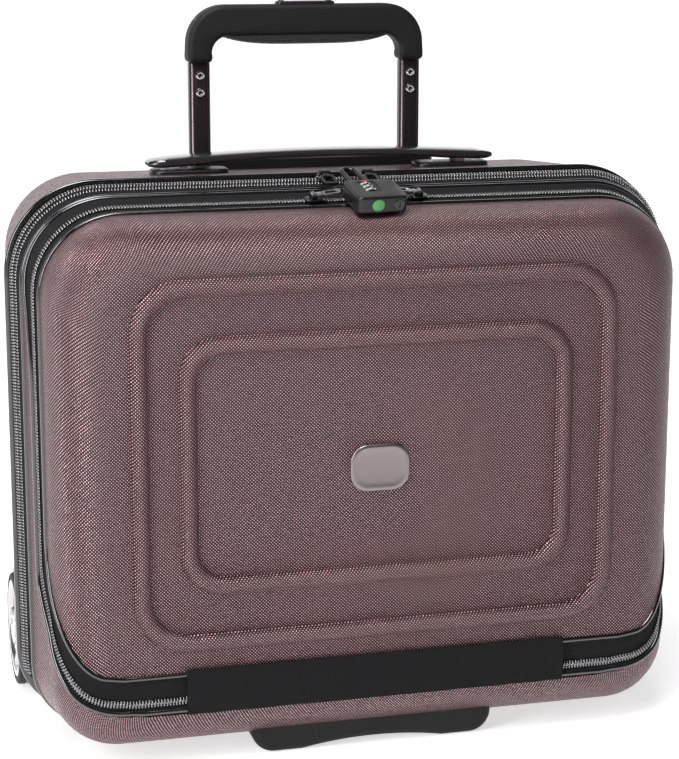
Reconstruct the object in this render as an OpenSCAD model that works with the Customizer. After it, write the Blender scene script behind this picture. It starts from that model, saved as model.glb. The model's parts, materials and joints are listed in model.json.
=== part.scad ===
// Rolling flight case: hard shell, zipped front pocket, telescopic trolley and two wheels.
// X is the width, Y the depth with the front at -Y, and Z runs up from the floor.
// The origin is on the floor, under the middle of the case's box.

/* [Case body] */
// Overall width, over the rim piping
body_w = 422; // [380:1:470]
// Overall depth, from the ribs' crests to the back wall
body_d = 216; // [200:1:250]
// Height of the shells, from their lowest to their highest piping
body_h = 339; // [310:1:390]
// Thickness of the moulded shells
wall = 2.2; // [1.6:0.1:3]
// Corner radius at the top, seen from the front
top_r = 55; // [40:1:65]
// Corner radius at the bottom, seen from the front
bottom_r = 45; // [35:1:55]
// Radius round the edges of the back wall
back_r = 24; // [16:1:28]
// Fillet from the chin's face to the bottom
chin_r = 25; // [15:1:30]
// How far the rear shell narrows on each side towards the back
draft = 10; // [0:0.5:12]
// How far the rear shell's top comes down towards the back
top_draft = 7; // [0:0.5:9]

/* [Zippers and piping] */
// Main zipper, behind the ribs' crests
main_zip_d = 76; // [72:1:84]
// Pocket zipper at the top and sides, behind the ribs' crests
pocket_zip_d = 46; // [44:1:50]
// Front panel's rim, behind the ribs' crests
panel_rim_d = 34; // [30:1:36]
// From the main zipper to the rear shell's rim
rear_band = 15; // [12:0.5:18]
// From the main zipper to the middle shell's rim
mid_band = 14; // [11:0.5:15]
// Step in from the rear piping to the middle shell's piping
mid_step = 6; // [4:0.5:8]
// Step in from the rear piping to the front panel's piping
panel_step = 13; // [10:0.5:16]
// Height at which the pocket zipper leaves the side and slants forward
bend_z = 112; // [100:1:130]
// Height of the pocket zipper across the front
seam_z = 47; // [44:1:52]
// Width of the piping
piping_w = 3.4; // [2.4:0.2:4]
// How far the piping stands over the shell
piping_h = 1.2; // [0.8:0.1:1.6]
// Thickness of the zipper tape
tape_t = 1.2; // [0.8:0.1:1.6]
// Width of one row of teeth
teeth_w = 2.6; // [2:0.1:3]
// Height of the teeth over the tape
teeth_h = 1.2; // [0.8:0.1:1.6]
// Gap between the two rows of teeth
teeth_gap = 0.8; // [0.7:0.1:1.2]
// Half-width of the strap over the front hinge
strap_half = 119.5; // [90:0.5:130]
// Height of the strap over the front hinge
strap_h = 28; // [24:1:30]

/* [Front panel] */
// Half-width of the outer rib
rib_half = 150.6; // [140:0.2:156]
// Outer rib's lowest edge
rib_low = 74; // [72:0.5:80]
// Outer rib's highest edge, below the top of the shell
rib_drop = 48; // [44:0.5:60]
// Outer rib's corner radius
rib_r = 32; // [20:1:40]
// How far the inner rib lies inside the outer rib, at the sides
inner_side = 28.6; // [24:0.2:34]
// How far the inner rib lies inside the outer rib, at top and bottom
inner_rise = 34.5; // [28:0.5:40]
// Inner rib's corner radius
inner_r = 25; // [16:1:32]
// Width of a rib
rib_w = 10; // [7:0.5:12]
// Height of a rib over the panel's face
rib_h = 2.5; // [1.5:0.1:3]
// Badge plate's width
badge_w = 37; // [30:0.5:44]
// Badge plate's height
badge_h = 29; // [24:0.5:34]
// Height of the badge's middle over the floor
badge_z = 180.5; // [160:0.5:200]

/* [Wheels and feet] */
// Wheel radius, over the tyre
wheel_r = 37.5; // [32:0.5:40]
// Wheel's width
wheel_w = 23; // [18:0.5:26]
// From the body's side to the wheel's outer face
wheel_in = 6; // [4:0.5:12]
// Axle to the back wall
wheel_back = 38; // [37:0.5:46]
// Tyre's thickness, measured along the radius
tyre_t = 4.5; // [3:0.5:7]
// Axle radius
axle_r = 4; // [3:0.5:5]
// Running clearance between axle and hub
run_clear = 0.05; // [0.02:0.01:0.1]
// Gap between the tyre and its housing
wheel_gap = 4; // [3:0.5:6]
// Height of the shells over the floor
foot_h = 9; // [7:0.5:12]
// Front foot's half-width
foot_half = 77; // [60:1:90]

/* [Trolley] */
// Distance between the two tubes' centres
tube_pitch = 142.4; // [120:0.2:160]
// Top tube's width
tube_w = 14; // [12:0.2:20]
// Top tube's depth
tube_d = 10; // [9:0.2:15]
// Wall of each tube
tube_wall = 1.1; // [0.9:0.1:1.5]
// Sliding clearance between the tubes, each side
tube_clear = 0.25; // [0.2:0.05:0.5]
// Tubes' centre plane, in front of the back wall
trolley_back = 28; // [26:1:32]
// How far the trolley stands out at rest
raised = 100; // [60:1:120]
// Height of the grip, from its legs' ends to its top
grip_h = 37; // [34:0.5:41]
// Thickness of the grip's bar
grip_bar = 20; // [18:0.5:24]
// Depth of the grip, front to back
grip_d = 18; // [17:0.5:21]
// Release button's length
button_w = 39; // [30:1:44]
// How far the release button moves
button_travel = 2; // [1.5:0.1:3]

/* [Carry handle] */
// Half-length of the handle
handle_half = 114; // [100:1:130]
// Handle's width, front to back
handle_d = 24; // [18:0.5:28]
// Handle's thickness in the middle
handle_t = 5; // [4:0.5:7]
// Rise of the handle's bow from end to middle
handle_bow = 4; // [2:0.5:6]
// Height of the finger gap, under the middle of the handle
finger_gap = 5.5; // [5:0.1:8]
// How far the handle pulls up
handle_lift = 12; // [8:1:16]
// Handle's centre, in front of the back wall
handle_back = 72; // [62:1:80]

/* [Padlock] */
// Padlock's width
lock_w = 32; // [28:0.5:36]
// Padlock's length
lock_l = 30; // [26:0.5:34]
// Padlock's thickness
lock_t = 10.6; // [10:0.2:13]
// Slope of the padlock, front end down
lock_tilt = 14; // [12:0.5:15]
// Turn of the padlock about the vertical
lock_yaw = 5; // [0:0.5:8]
// Shackle's wire radius
shackle_r = 1.6; // [1.2:0.1:2]
// Shackle's length outside the padlock
shackle_l = 31; // [28:0.5:36]
// Where the shackle's end lies across the case
lock_x = -2; // [-10:0.5:10]

/* [Hidden] */

steps = 9;                                  // segments in a rounded corner
fillets = 5;                                // rings in a rounded edge
eps = 0.01;
far = 700;
gap = 0.3;                                  // clearance between pieces that never touch

front_y = -body_d / 2;
back_y = body_d / 2;
half_w = body_w / 2;
top_z = foot_h + body_h;
face_y = front_y + rib_h;
main_y = front_y + main_zip_d;
pocket_y = front_y + pocket_zip_d;
panel_y = front_y + panel_rim_d;
rear_rim = main_y + rear_band;
mid_rim = main_y - mid_band;
front_r = panel_y - face_y;
face_step = 1;                              // rear shell's own inset, inside its piping
seam_dy = pocket_y - face_y;
slope = (bend_z - seam_z) / seam_dy;        // rise of the slanting seam
panel_lip = 15;                             // pocket seam to the panel's edge, up the front
panel_dy = panel_y - pocket_y;              // the same, along the depth
mid_lip = 11;                               // pocket seam to the middle shell's edge
mid_dy = 6;

trolley_y = back_y - trolley_back;
cup_wall = 3;
cup_half = tube_pitch / 2 + tube_w / 2 + 5.2;
cup_deep = grip_h + 3;
cup_d = grip_d + 8;
cup_floor = top_z - cup_deep - 4;
grip_half = tube_pitch / 2 + tube_w / 2 + 0.8;
grip_low = top_z - 1 - grip_h + raised;
bracket_z = foot_h + 8;
bracket_t = 5;
bracket_x = 60;                             // bracket's screws, from the middle
screw_r = 1.6;
tube_foot = bracket_z + bracket_t;
mid_tube_w = tube_w + 2 * (tube_clear + tube_wall);
mid_tube_d = tube_d + 2 * (tube_clear + tube_wall);
out_tube_w = mid_tube_w + 2 * (tube_clear + tube_wall);
out_tube_d = mid_tube_d + 2 * (tube_clear + tube_wall);
tube_r = 4;
tunnel_half = cup_half + 9;                 // lining's cover over the tubes
tunnel_y = trolley_y - cup_d / 2 - 6;
top_tube_low = tube_foot + 2 + raised;
rivet_r = 1.5;
rivet_zs = [grip_low - 8, grip_low - 19.2];
rivet_head = 3;
rivet_out = 0.9;                            // height of the rivets' heads
rivet_in = 2.6;                             // rivets' shanks, inside the tube's face
pad_h = 5.4;                                // grip pad's height in the middle
link_w = 5.2;
link_z = grip_low + grip_h - 13;

wheel_y = back_y - wheel_back;
wheel_x = half_w - wheel_in;
arch_r = wheel_r + wheel_gap;
arch_t = 4;
housing_r = 24;                             // wheel housing's lower corner, seen from the front
well_x = wheel_x - wheel_w - 12;            // inner wall of the wheel housing
hub_r = wheel_r - tyre_t;

handle_y = back_y - handle_back;
handle_low = top_z - face_step + finger_gap;
post_x = handle_half - 22;
post_w = 6;
post_d = 14;
shell_z = top_z - face_step;                // top face of the rear shell, at its rim
base_z = shell_z - top_draft * (handle_y - rear_rim) / (back_y - back_r - rear_rim);
base_t = 3.2;

lock_y = main_y - 2;
lock_z = top_z + 3.4;
dial_r = lock_t / 2;
dial_z = 0.8;                               // dials stand this much over the padlock's top face
dial_t = 3.4;
dial_pin = 1.3;
shackle_half = 4.5;                         // half the distance between the shackle's legs
dial_pitch = 4.8;
lock_mid = 0;                               // middle of the padlock's width
side_cut = lock_mid + lock_w / 2 - 11;      // seam between the dial half and the key half
dial_y0 = -shackle_l - 7;
slider_w = 11;
slider_t = 1.6;
pull_t = 1.6;
pin_r = 0.8;                                // pin that a pull swings on
pin_up = 2;                                 // the pin's height over the slider's plate
pin_z = teeth_h + 0.35 + slider_t + pin_up;
ear_gap = 5;
main_slider_x = 13.5;
pocket_slider_x = 33;
zip_lean = atan((panel_step - mid_step) / (mid_rim - panel_y));
main_tape_z = top_z - mid_step + 2.4;
pocket_tape_z = top_z - mid_step - piping_h
    - (panel_step - mid_step) * (mid_rim - pocket_y) / (mid_rim - panel_y) - 1.6;

// ---- shared shapes -------------------------------------------------------------------

function corner(cx, cz, r, from) =
    [for (i = [0:steps]) let (a = from + 90 * i / steps) [cx + r * cos(a), cz + r * sin(a)]];

function outline(hw, low, high, rt, rb) = concat(
    corner(hw - rt, high - rt, rt, 0), corner(rt - hw, high - rt, rt, 90),
    corner(rb - hw, low + rb, rb, 180), corner(hw - rb, low + rb, rb, 270));

// Case outline seen from the front, pulled in at the sides and top, and at the bottom.
// up is how much less the top is pulled in than the sides.
function case_line(side, low, up = 0) = outline(half_w - side, foot_h + low, top_z - side + up,
    top_r - side * 0.45, bottom_r - side * 0.45);

module slice(y, side, low, up = 0) {
    translate([0, y, 0]) rotate([90, 0, 0]) linear_extrude(eps) polygon(case_line(side, low, up));
}

// Rear half of the case as a solid, g inside its outer face.
module rear_form(g) {
    hull() {
        slice(rear_rim - (g > 0 ? 1 : 0), face_step + g, face_step + g);
        for (i = [0:fillets]) {
            a = 90 * i / fillets;
            inset = face_step + back_r - (back_r - g) * cos(a);
            slice(back_y - back_r + (back_r - g) * sin(a), inset + draft, inset, draft - top_draft);
        }
    }
}

// Front half of the case as a solid, g inside its outer face.
module front_form(g) {
    hull() {
        slice(mid_rim + (g > 0 ? 1 : 0), mid_step + piping_h + g, face_step + g);
        for (i = [0:fillets]) {
            a = 90 * i / fillets;
            side = panel_step + piping_h + front_r - (front_r - g) * cos(a);
            low = face_step + chin_r - (chin_r - g) * cos(a);
            slice(panel_y - (front_r - g) * sin(a), side, low);
        }
    }
}

module front_skin(out, thick) {
    difference() {
        front_form(out);
        front_form(out + thick);
    }
}

// Side profile of a seam: down the side, round a bend and slanting to the front.
function seam(dy, lift, drop) = let (
    y = pocket_y + dy, z = bend_z + lift, m = (z - seam_z - drop) / (y - face_y), q = 14) concat(
    [for (i = [0:4]) let (t = i / 4) [
        y - t * t * q, z + q * (1 - t) * (1 - t) - t * t * q * m]],
    [[front_y - 20, seam_z + drop - m * (face_y - front_y + 20)]]);

module ahead_of(dy, lift, drop) {
    rotate([90, 0, 90]) linear_extrude(far, center = true)
        polygon(concat([[pocket_y + dy, far]], seam(dy, lift, drop), [[front_y - 20, far]]));
}

module panel_side(more) {
    ahead_of(-more, more * 1.33, more * 1.2);
}

// Flat ring that follows the case outline, between two insets and two depths.
module ring(y0, y1, out, inn, low_out, low_inn) {
    translate([0, y1, 0]) rotate([90, 0, 0]) linear_extrude(y1 - y0) difference() {
        polygon(case_line(out, low_out));
        polygon(case_line(inn, low_inn));
    }
}

module above(z) {
    translate([-far / 2, -far / 2, z]) cube([far, far, far]);
}

module rrect(w, d, r) {
    square([w - 2 * r, d], center = true);
    square([w, d - 2 * r], center = true);
    for (sx = [-1, 1], sy = [-1, 1])
        translate([sx * (w / 2 - r), sy * (d / 2 - r)]) circle(r = r, $fn = 48);
}

module block(x0, x1, y0, y1, z0, z1) {
    translate([x0, y0, z0]) cube([x1 - x0, y1 - y0, z1 - z0]);
}

// Children as drawn for side 1, or mirrored to the left for side -1.
module mirrored(side) {
    if (side > 0) children();
    else mirror([1, 0, 0]) children();
}

module rod_x(r, x0, x1) {
    translate([x0, 0, 0]) rotate([0, 90, 0]) cylinder(r = r, h = x1 - x0, $fn = 64);
}

// ---- rear case -----------------------------------------------------------------------

module wheel_outline(r) {
    circle(r = r, $fn = 96);
    translate([-r, -far]) square([2 * r, far]);
}

// Solid of the wheel arch in its place on the right-hand side.
module wheel_well(r, x0, x1) {
    translate([x0, wheel_y, wheel_r]) rotate([90, 0, 90]) linear_extrude(x1 - x0) wheel_outline(r);
}

module cup_block(g, low) {
    translate([0, trolley_y, low])
        linear_extrude(far) rrect(2 * (cup_half + g), cup_d + 2 * g, 8 + g);
}

module rear_shell() {
    color("#5a2430") difference() {
        rear_form(0);
        rear_form(wall);
        for (side = [-1, 1]) mirrored(side) {
            wheel_well(arch_r + arch_t + gap, well_x - arch_t, far);
            translate([post_x, handle_y, base_z - wall - 2])
                linear_extrude(wall + 5) square([post_w + 1, post_d + 1], center = true);
            base_holes() cylinder(r = screw_r, h = wall + 6, $fn = 32);
            translate([bracket_x, trolley_y - 4, 0]) cylinder(r = 2, h = foot_h + 8, $fn = 32);
        }
        cup_block(cup_wall + gap, cup_floor - 1);
    }
}

// Places of the two screws that hold a base of the carry handle.
module base_holes() {
    for (dx = [-18, 12]) translate([post_x + dx, handle_y, base_z - wall]) children();
}

module rear_piping() {
    color("#141214") ring(rear_rim - piping_w, rear_rim - eps, 0, piping_w, 0, piping_w);
}

module main_zip_rear() {
    near = main_y + teeth_gap / 2;
    rim = rear_rim - piping_w;
    color("#1b1a1c") intersection() {
        union() {
            ring(near, rim, mid_step - 2.4, mid_step - 2.4 + tape_t, 3, 3 + tape_t);
            ring(near, near + teeth_w, mid_step - 2.4 - teeth_h, mid_step - 2.3, 2, 3.1);
        }
        above(foot_h + bottom_r * 0.7);
    }
}

module rear_lining() {
    color("#3a3a3e") difference() {
        union() {
            difference() {
                rear_form(wall + 0.4);
                rear_form(wall + 1.4);
            }
            intersection() {
                rear_form(wall + 0.4);
                difference() {
                    block(-tunnel_half, tunnel_half, tunnel_y, back_y, foot_h, top_z);
                    block(1 - tunnel_half, tunnel_half - 1, tunnel_y + 1, back_y, foot_h, top_z);
                }
            }
        }
        for (side = [-1, 1]) mirrored(side) {
            wheel_well(arch_r + arch_t + 1, well_x - arch_t - 2, far);
            translate([post_x, handle_y, top_z - 24]) linear_extrude(far)
                square([post_w + 14, post_d + 10], center = true);
            translate([bracket_x, trolley_y - 4, 0]) cylinder(r = 8, h = foot_h + 22, $fn = 48);
        }
        cup_block(cup_wall + 1, cup_floor - 2);
    }
}

module tube_holes(w, d, z0, z1) {
    for (side = [-1, 1]) translate([side * tube_pitch / 2, trolley_y, z0])
        linear_extrude(z1 - z0) rrect(w, d, tube_r);
}

module trolley_cup() {
    color("#171517") difference() {
        translate([0, trolley_y, cup_floor])
            linear_extrude(top_z - cup_floor) rrect(2 * (cup_half + cup_wall), cup_d + 2 * cup_wall, 8 + cup_wall);
        cup_block(0, cup_floor + cup_wall);
        tube_holes(mid_tube_w + 2 * gap, mid_tube_d + 2 * gap, cup_floor - 1, cup_floor + cup_wall + 1);
    }
}

module tube(side, w, d, z0, z1) {
    translate([side * tube_pitch / 2, trolley_y, z0]) linear_extrude(z1 - z0) difference() {
        rrect(w, d, tube_r);
        rrect(w - 2 * tube_wall, d - 2 * tube_wall, tube_r - tube_wall);
    }
}

module outer_tube(side) {
    color("#8d8a8c") tube(side, out_tube_w, out_tube_d, tube_foot, cup_floor);
}

module trolley_bracket() {
    color("#242226") difference() {
        union() {
            translate([0, trolley_y, bracket_z]) linear_extrude(bracket_t)
                rrect(tube_pitch + out_tube_w + 12, out_tube_d + 2, 5);
            for (side = [-1, 1])
                translate([side * bracket_x, trolley_y - 4, foot_h + face_step + wall])
                cylinder(r = 6, h = bracket_z - foot_h - wall, $fn = 48);
        }
        for (side = [-1, 1]) translate([side * bracket_x, trolley_y - 4, 0])
            cylinder(r = 2, h = bracket_z + bracket_t + 1, $fn = 32);
    }
}

module wheel_housing(side) {
    color("#161516") mirrored(side) intersection() {
        difference() {
            wheel_well(arch_r + arch_t, well_x - arch_t, half_w - draft - face_step);
            wheel_well(arch_r, well_x, far);
            translate([0, wheel_y, wheel_r]) rod_x(axle_r, well_x - arch_t - 1, well_x + 5);
        }
        translate([0, back_y - 0.6, 0]) rotate([90, 0, 0]) linear_extrude(far)
            polygon(outline(half_w - draft - face_step, foot_h + 3, far, 9, housing_r));
    }
    color("#161516") mirrored(side) translate([0, wheel_y, wheel_r]) difference() {
        rod_x(axle_r + 5, well_x, wheel_x - wheel_w - 1);
        rod_x(axle_r, well_x - 1, far);
    }
}

module axle(side) {
    color("#b4b4b8") mirrored(side) translate([0, wheel_y, wheel_r]) {
        rod_x(axle_r, well_x - arch_t, wheel_x - 3);
        rod_x(axle_r + 3, wheel_x - 3, wheel_x - 1);
        rod_x(axle_r + 3, well_x - arch_t - 2, well_x - arch_t);
    }
}

module handle_base(side) {
    color("#1d1b1d") mirrored(side) difference() {
        translate([handle_half - 27, handle_y, base_z - 1])
            linear_extrude(base_t + 1) rrect(50, handle_d - 2, 4);
        rear_form(0);
        translate([post_x, handle_y, base_z - 2]) linear_extrude(base_t + 4)
            square([post_w + 1, post_d + 1], center = true);
        base_holes() cylinder(r = screw_r, h = wall + base_t + 2, $fn = 32);
    }
}

module rear_screws() {
    color("#9c9ca0") for (side = [-1, 1]) mirrored(side) {
        base_holes() cylinder(r = screw_r, h = wall + base_t - 0.1, $fn = 32);
        translate([bracket_x, trolley_y - 4, foot_h + face_step - 1.4]) {
            cylinder(r = 4, h = 1.4, $fn = 48);
            cylinder(r = 2, h = bracket_t + 8, $fn = 32);
        }
    }
}

module main_hinge_strip() {
    color("#202022") block(-half_w + 64, half_w - 64, main_y - mid_band + 1, rear_rim - piping_w - 1,
        foot_h + piping_w + 1, foot_h + piping_w + 1 + tape_t);
}

// ---- front frame ---------------------------------------------------------------------

module mid_shell() {
    color("#5a2430") difference() {
        front_skin(0, wall);
        ahead_of(mid_dy, -8, -mid_lip);
        for (side = [-1, 1]) translate([side * 38, mid_rim - 14, 0])
            cylinder(r = 2, h = foot_h + 12, $fn = 32);
    }
}

module mid_piping() {
    color("#141214") {
        ring(mid_rim + eps, mid_rim + piping_w, mid_step, mid_step + piping_w, 0, piping_w);
        difference() {
            front_skin(-piping_h * 0.4, piping_w);
            ahead_of(mid_dy - 2, -6, -mid_lip + 3);
            difference() {
                translate([-far / 2, -far / 2, -1]) cube([far, far, far]);
                ahead_of(mid_dy, -8, -mid_lip);
            }
        }
    }
}

module main_zip_front() {
    near = main_y - teeth_gap / 2;
    rim = mid_rim + piping_w;
    color("#1b1a1c") intersection() {
        union() {
            ring(rim, near, mid_step, mid_step + tape_t, 3, 3 + tape_t);
            ring(near - teeth_w, near, mid_step - 2.4 - teeth_h, mid_step + 0.1, 2, 3.1);
        }
        above(foot_h + bottom_r * 0.7);
    }
}

// One half of the pocket zipper, between two seam lines, with the pocket seam at its edge.
module pocket_zip_frame() {
    half = teeth_gap / 2;
    color("#1b1a1c") {
        difference() {
            front_skin(1.6, tape_t);
            panel_side(-half);
            difference() {
                translate([-far / 2, -far / 2, -1]) cube([far, far, far]);
                ahead_of(mid_dy - 2, -6, -mid_lip + 3);
            }
        }
        difference() {
            front_skin(0.4, 1.2);
            panel_side(-half);
            difference() {
                translate([-far / 2, -far / 2, -1]) cube([far, far, far]);
                panel_side(-half - teeth_w);
            }
        }
    }
}

module pocket_divider() {
    color("#2c2c30") translate([0, mid_rim - 1.5, 0]) rotate([90, 0, 0]) linear_extrude(3)
        polygon(case_line(mid_step + piping_h + wall + 3, face_step + wall + 3));
}

module front_foot() {
    y0 = front_y + 12;
    arch = [for (i = [-10:10]) [i * 4.5, 4 * (1 - i * i / 100)]];
    color("#161616") difference() {
        intersection() {
            translate([0, mid_rim - 2, 0]) rotate([90, 0, 0]) linear_extrude(mid_rim - 2 - y0)
                difference() {
                    intersection() {
                        translate([0, 20]) rrect(2 * foot_half, 40, 14);
                        translate([-far / 2, 0]) square([far, foot_h + 14]);
                    }
                    polygon(concat(arch, [[45, -5], [-45, -5]]));
                }
            translate([0, mid_rim - 2, 0]) rotate([90, 0, 90]) linear_extrude(far, center = true)
                translate([(y0 - mid_rim + 2) / 2, 20]) rrect(mid_rim - 2 - y0, 40, 8);
        }
        front_form(-0.05);
        for (side = [-1, 1]) translate([side * 38, mid_rim - 14, 0]) {
            cylinder(r = 4.2, h = 5, $fn = 48);
            cylinder(r = 2, h = foot_h + 12, $fn = 32);
        }
    }
}

module foot_screws() {
    color("#9c9ca0") for (side = [-1, 1]) translate([side * 38, mid_rim - 14, 0]) {
        translate([0, 0, 3]) cylinder(r = 4, h = 2, $fn = 48);
        translate([0, 0, 5]) cylinder(r = 2, h = foot_h + 1.5, $fn = 32);
    }
}

module front_hinge_strap() {
    color("#101011") block(-strap_half, strap_half, front_y, front_y + tape_t,
        seam_z - 12, seam_z - 12 + strap_h);
}

// ---- front panel ---------------------------------------------------------------------

module rib(side, rise, r) {
    w = 2 * (rib_half - side);
    low = rib_low + rise;
    high = top_z - rib_drop - rise;
    translate([0, face_y + eps, (low + high) / 2]) rotate([90, 0, 0]) linear_extrude(rib_h) difference() {
        rrect(w, high - low, r);
        rrect(w - 2 * rib_w, high - low - 2 * rib_w, r - rib_w * 0.7);
    }
}

module panel_shell() {
    color("#5a2430") {
        intersection() {
            front_skin(0, wall);
            panel_side(panel_lip * 0.8);
        }
        rib(0, 0, rib_r);
        rib(inner_side, inner_rise, inner_r);
    }
}

module panel_piping() {
    color("#141214") intersection() {
        front_skin(-piping_h * 0.6, piping_w);
        difference() {
            panel_side(panel_lip * 0.8 - piping_w * 0.8);
            panel_side(panel_lip * 0.8);
        }
    }
}

module pocket_zip_panel() {
    half = teeth_gap / 2;
    color("#1b1a1c") {
        intersection() {
            front_skin(1.6, tape_t);
            difference() {
                panel_side(half);
                panel_side(panel_lip * 0.8 - piping_w * 0.8);
            }
        }
        intersection() {
            front_skin(0.4, 1.2);
            difference() {
                panel_side(half);
                panel_side(half + teeth_w);
            }
        }
    }
}

module badge() {
    color("#6f6668") translate([0, face_y - eps, badge_z]) rotate([90, 0, 0]) linear_extrude(rib_h - 0.5)
        rrect(badge_w, badge_h, 11);
}

module panel_lining() {
    color("#3a3a3e") intersection() {
        front_skin(wall + 0.4, 1);
        panel_side(panel_lip + 6);
    }
}

// ---- zipper sliders and pulls ----------------------------------------------------------

// A place on a zipper at the top of the case, leaning with the tape's outer face.
module at_zip(x, y, z, lean) {
    translate([x, y, z]) rotate([lean, 0, 0]) children();
}

// Slider astride a zipper, with the tape's outer face at z = 0. under is the depth of the
// lower plate, the post runs upright between the teeth, and turn is the way its pin points.
module slider(under, turn, lean) {
    plate_z = teeth_h + 0.35;
    color("#232124") {
        translate([0, 0, plate_z]) linear_extrude(slider_t) rrect(slider_w, 7.6, 3);
        translate([0, 0, pin_z]) rotate([0, 0, turn]) {
            for (side = [-1, 1]) translate([side * (ear_gap / 2 + 0.5), 0, 0]) rotate([0, 90, 0]) {
                cylinder(r = 1.9, h = 1, center = true, $fn = 48);
                translate([pin_up / 2 + 0.1, 0, 0]) cube([pin_up + 0.2, 3.2, 1], center = true);
            }
            rotate([0, 90, 0]) cylinder(r = pin_r, h = ear_gap + 1, center = true, $fn = 48);
        }
        rotate([-lean, 0, 0]) translate([0, 0, -under - 0.4])
            linear_extrude(plate_z + under + 0.5) square([4, teeth_gap - 0.4], center = true);
        translate([0, 0, -under - 0.8]) linear_extrude(0.8) rrect(slider_w - 3, 4, 1.5);
    }
}

module at_main(side) {
    at_zip(side * main_slider_x + lock_x, main_y, main_tape_z, 0) children();
}

module at_pocket(side) {
    at_zip(side * pocket_slider_x + 3, pocket_y, pocket_tape_z, zip_lean) children();
}

module main_slider(side) {
    at_main(side) slider(tape_t + 3.2, 0, 0);
}

module pocket_slider(side) {
    at_pocket(side) slider(tape_t + 0.6, 90, zip_lean);
}

// Pull: a barrel on the slider's pin, a neck and an open frame, lying along -Y.
module pull_form(w, l) {
    difference() {
        union() {
            rotate([0, 90, 0]) cylinder(r = pin_r + 0.8, h = ear_gap - 0.5, center = true, $fn = 48);
            translate([0, 0, -pull_t / 2]) linear_extrude(pull_t) difference() {
                union() {
                    translate([0, -3]) square([ear_gap - 0.7, 6], center = true);
                    translate([0, -4.6 - (l - 4.6) / 2]) rrect(w, l - 4.6, 2.2);
                }
                translate([0, -7.2 - (l - 10) / 2]) rrect(w - 3.4, l - 10, 1.2);
            }
        }
        rotate([0, 90, 0]) cylinder(r = pin_r + run_clear, h = ear_gap + 2, center = true, $fn = 48);
    }
}

module main_pull(side) {
    color("#1c1b1d") at_main(side) translate([0, 0, pin_z]) rotate([14, 0, 0]) pull_form(9, 19);
}

// The two pocket pulls lie along the zipper, towards the padlock.
module pocket_pull(side) {
    color("#2c2a2d") at_pocket(side) translate([0, 0, pin_z])
        rotate([0, 0, side * -90]) rotate([-6, 0, 0]) pull_form(6.4, 17);
}

// ---- padlock -------------------------------------------------------------------------

// Padlock's own frame: the shackle's end at the origin, the case towards -Y.
module at_lock() {
    translate([0, lock_y, lock_z]) rotate([lock_tilt, 0, lock_yaw]) children();
}

module lock_body(x0, x1) {
    intersection() {
        translate([lock_mid, -shackle_l - lock_l / 2, 0]) linear_extrude(far, center = true)
            rrect(lock_w, lock_l, 4);
        translate([lock_mid, 0, 0]) rotate([90, 0, 0]) linear_extrude(far, center = true)
            rrect(lock_w, lock_t, 2.6);
        block(x0, x1, -far, far, -far, far);
    }
}

// Along the dials' shared axis, from dial_y0 towards the padlock's front end.
module at_dials() {
    translate([-3, dial_y0, dial_z]) rotate([90, 0, 0]) children();
}

module padlock_case() {
    color("#2a282b") at_lock() {
        difference() {
            lock_body(-far, side_cut - 0.1);
            for (i = [0:2]) at_dials() translate([0, 0, i * dial_pitch - dial_t / 2 - 0.2])
                cylinder(r = dial_r + 0.25, h = dial_t + 0.4, $fn = 64);
            for (side = [-1, 1]) translate([lock_x + side * shackle_half, 0, 0]) rotate([90, 0, 0])
                cylinder(r = shackle_r + 0.1, h = shackle_l + 5, $fn = 48);
            translate([-3, -shackle_l - lock_l - eps, 0]) rotate([-90, 0, 0])
                cylinder(r = 3.9, h = 0.8, $fn = 64);
        }
        at_dials() translate([0, 0, -dial_t]) cylinder(r = dial_pin, h = 2 * dial_pitch + 2 * dial_t, $fn = 48);
    }
}

module padlock_side() {
    color("#333134") at_lock() difference() {
        lock_body(side_cut + 0.1, far);
        translate([side_cut + 5.2, -shackle_l - lock_l - 1, 0]) rotate([-90, 0, 0])
            cylinder(r = 3.4, h = 9, $fn = 64);
    }
}

module padlock_dot() {
    color("#2f8f3a") at_lock() translate([-3, -shackle_l - lock_l - 0.2, 0]) rotate([-90, 0, 0])
        cylinder(r = 3.8, h = 0.9, $fn = 64);
}

module padlock_shackle() {
    color("#b9b9bd") at_lock() translate([lock_x, -shackle_half, 0]) {
        for (side = [-1, 1]) translate([side * shackle_half, 0, 0]) rotate([90, 0, 0])
            cylinder(r = shackle_r, h = shackle_l + 4 - shackle_half, $fn = 48);
        rotate_extrude(angle = 180, $fn = 96) translate([shackle_half, 0])
            circle(r = shackle_r, $fn = 48);
    }
}

module dial(i) {
    color("#c6c6c8") at_lock() at_dials() translate([0, 0, i * dial_pitch]) difference() {
        cylinder(r = dial_r, h = dial_t, center = true, $fn = 64);
        cylinder(r = dial_pin + run_clear, h = dial_t + 1, center = true, $fn = 48);
    }
}

module key_plug() {
    color("#4a484b") at_lock() translate([side_cut + 5.2, -shackle_l - lock_l, 0]) rotate([-90, 0, 0])
        difference() {
            cylinder(r = 3.35, h = 7.8, $fn = 64);
            translate([0, 0, -1]) linear_extrude(4) square([3.4, 0.8], center = true);
        }
}

// ---- wheels --------------------------------------------------------------------------

module tyre(side) {
    color("#1a1a1a") mirrored(side) translate([wheel_x - wheel_w, wheel_y, wheel_r]) rotate([0, 90, 0])
        rotate_extrude($fn = 96) difference() {
            translate([hub_r + tyre_t / 2 - 0.5, wheel_w / 2]) rrect(tyre_t + 1, wheel_w - 1, 2);
            square([hub_r, wheel_w]);
        }
}

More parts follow.
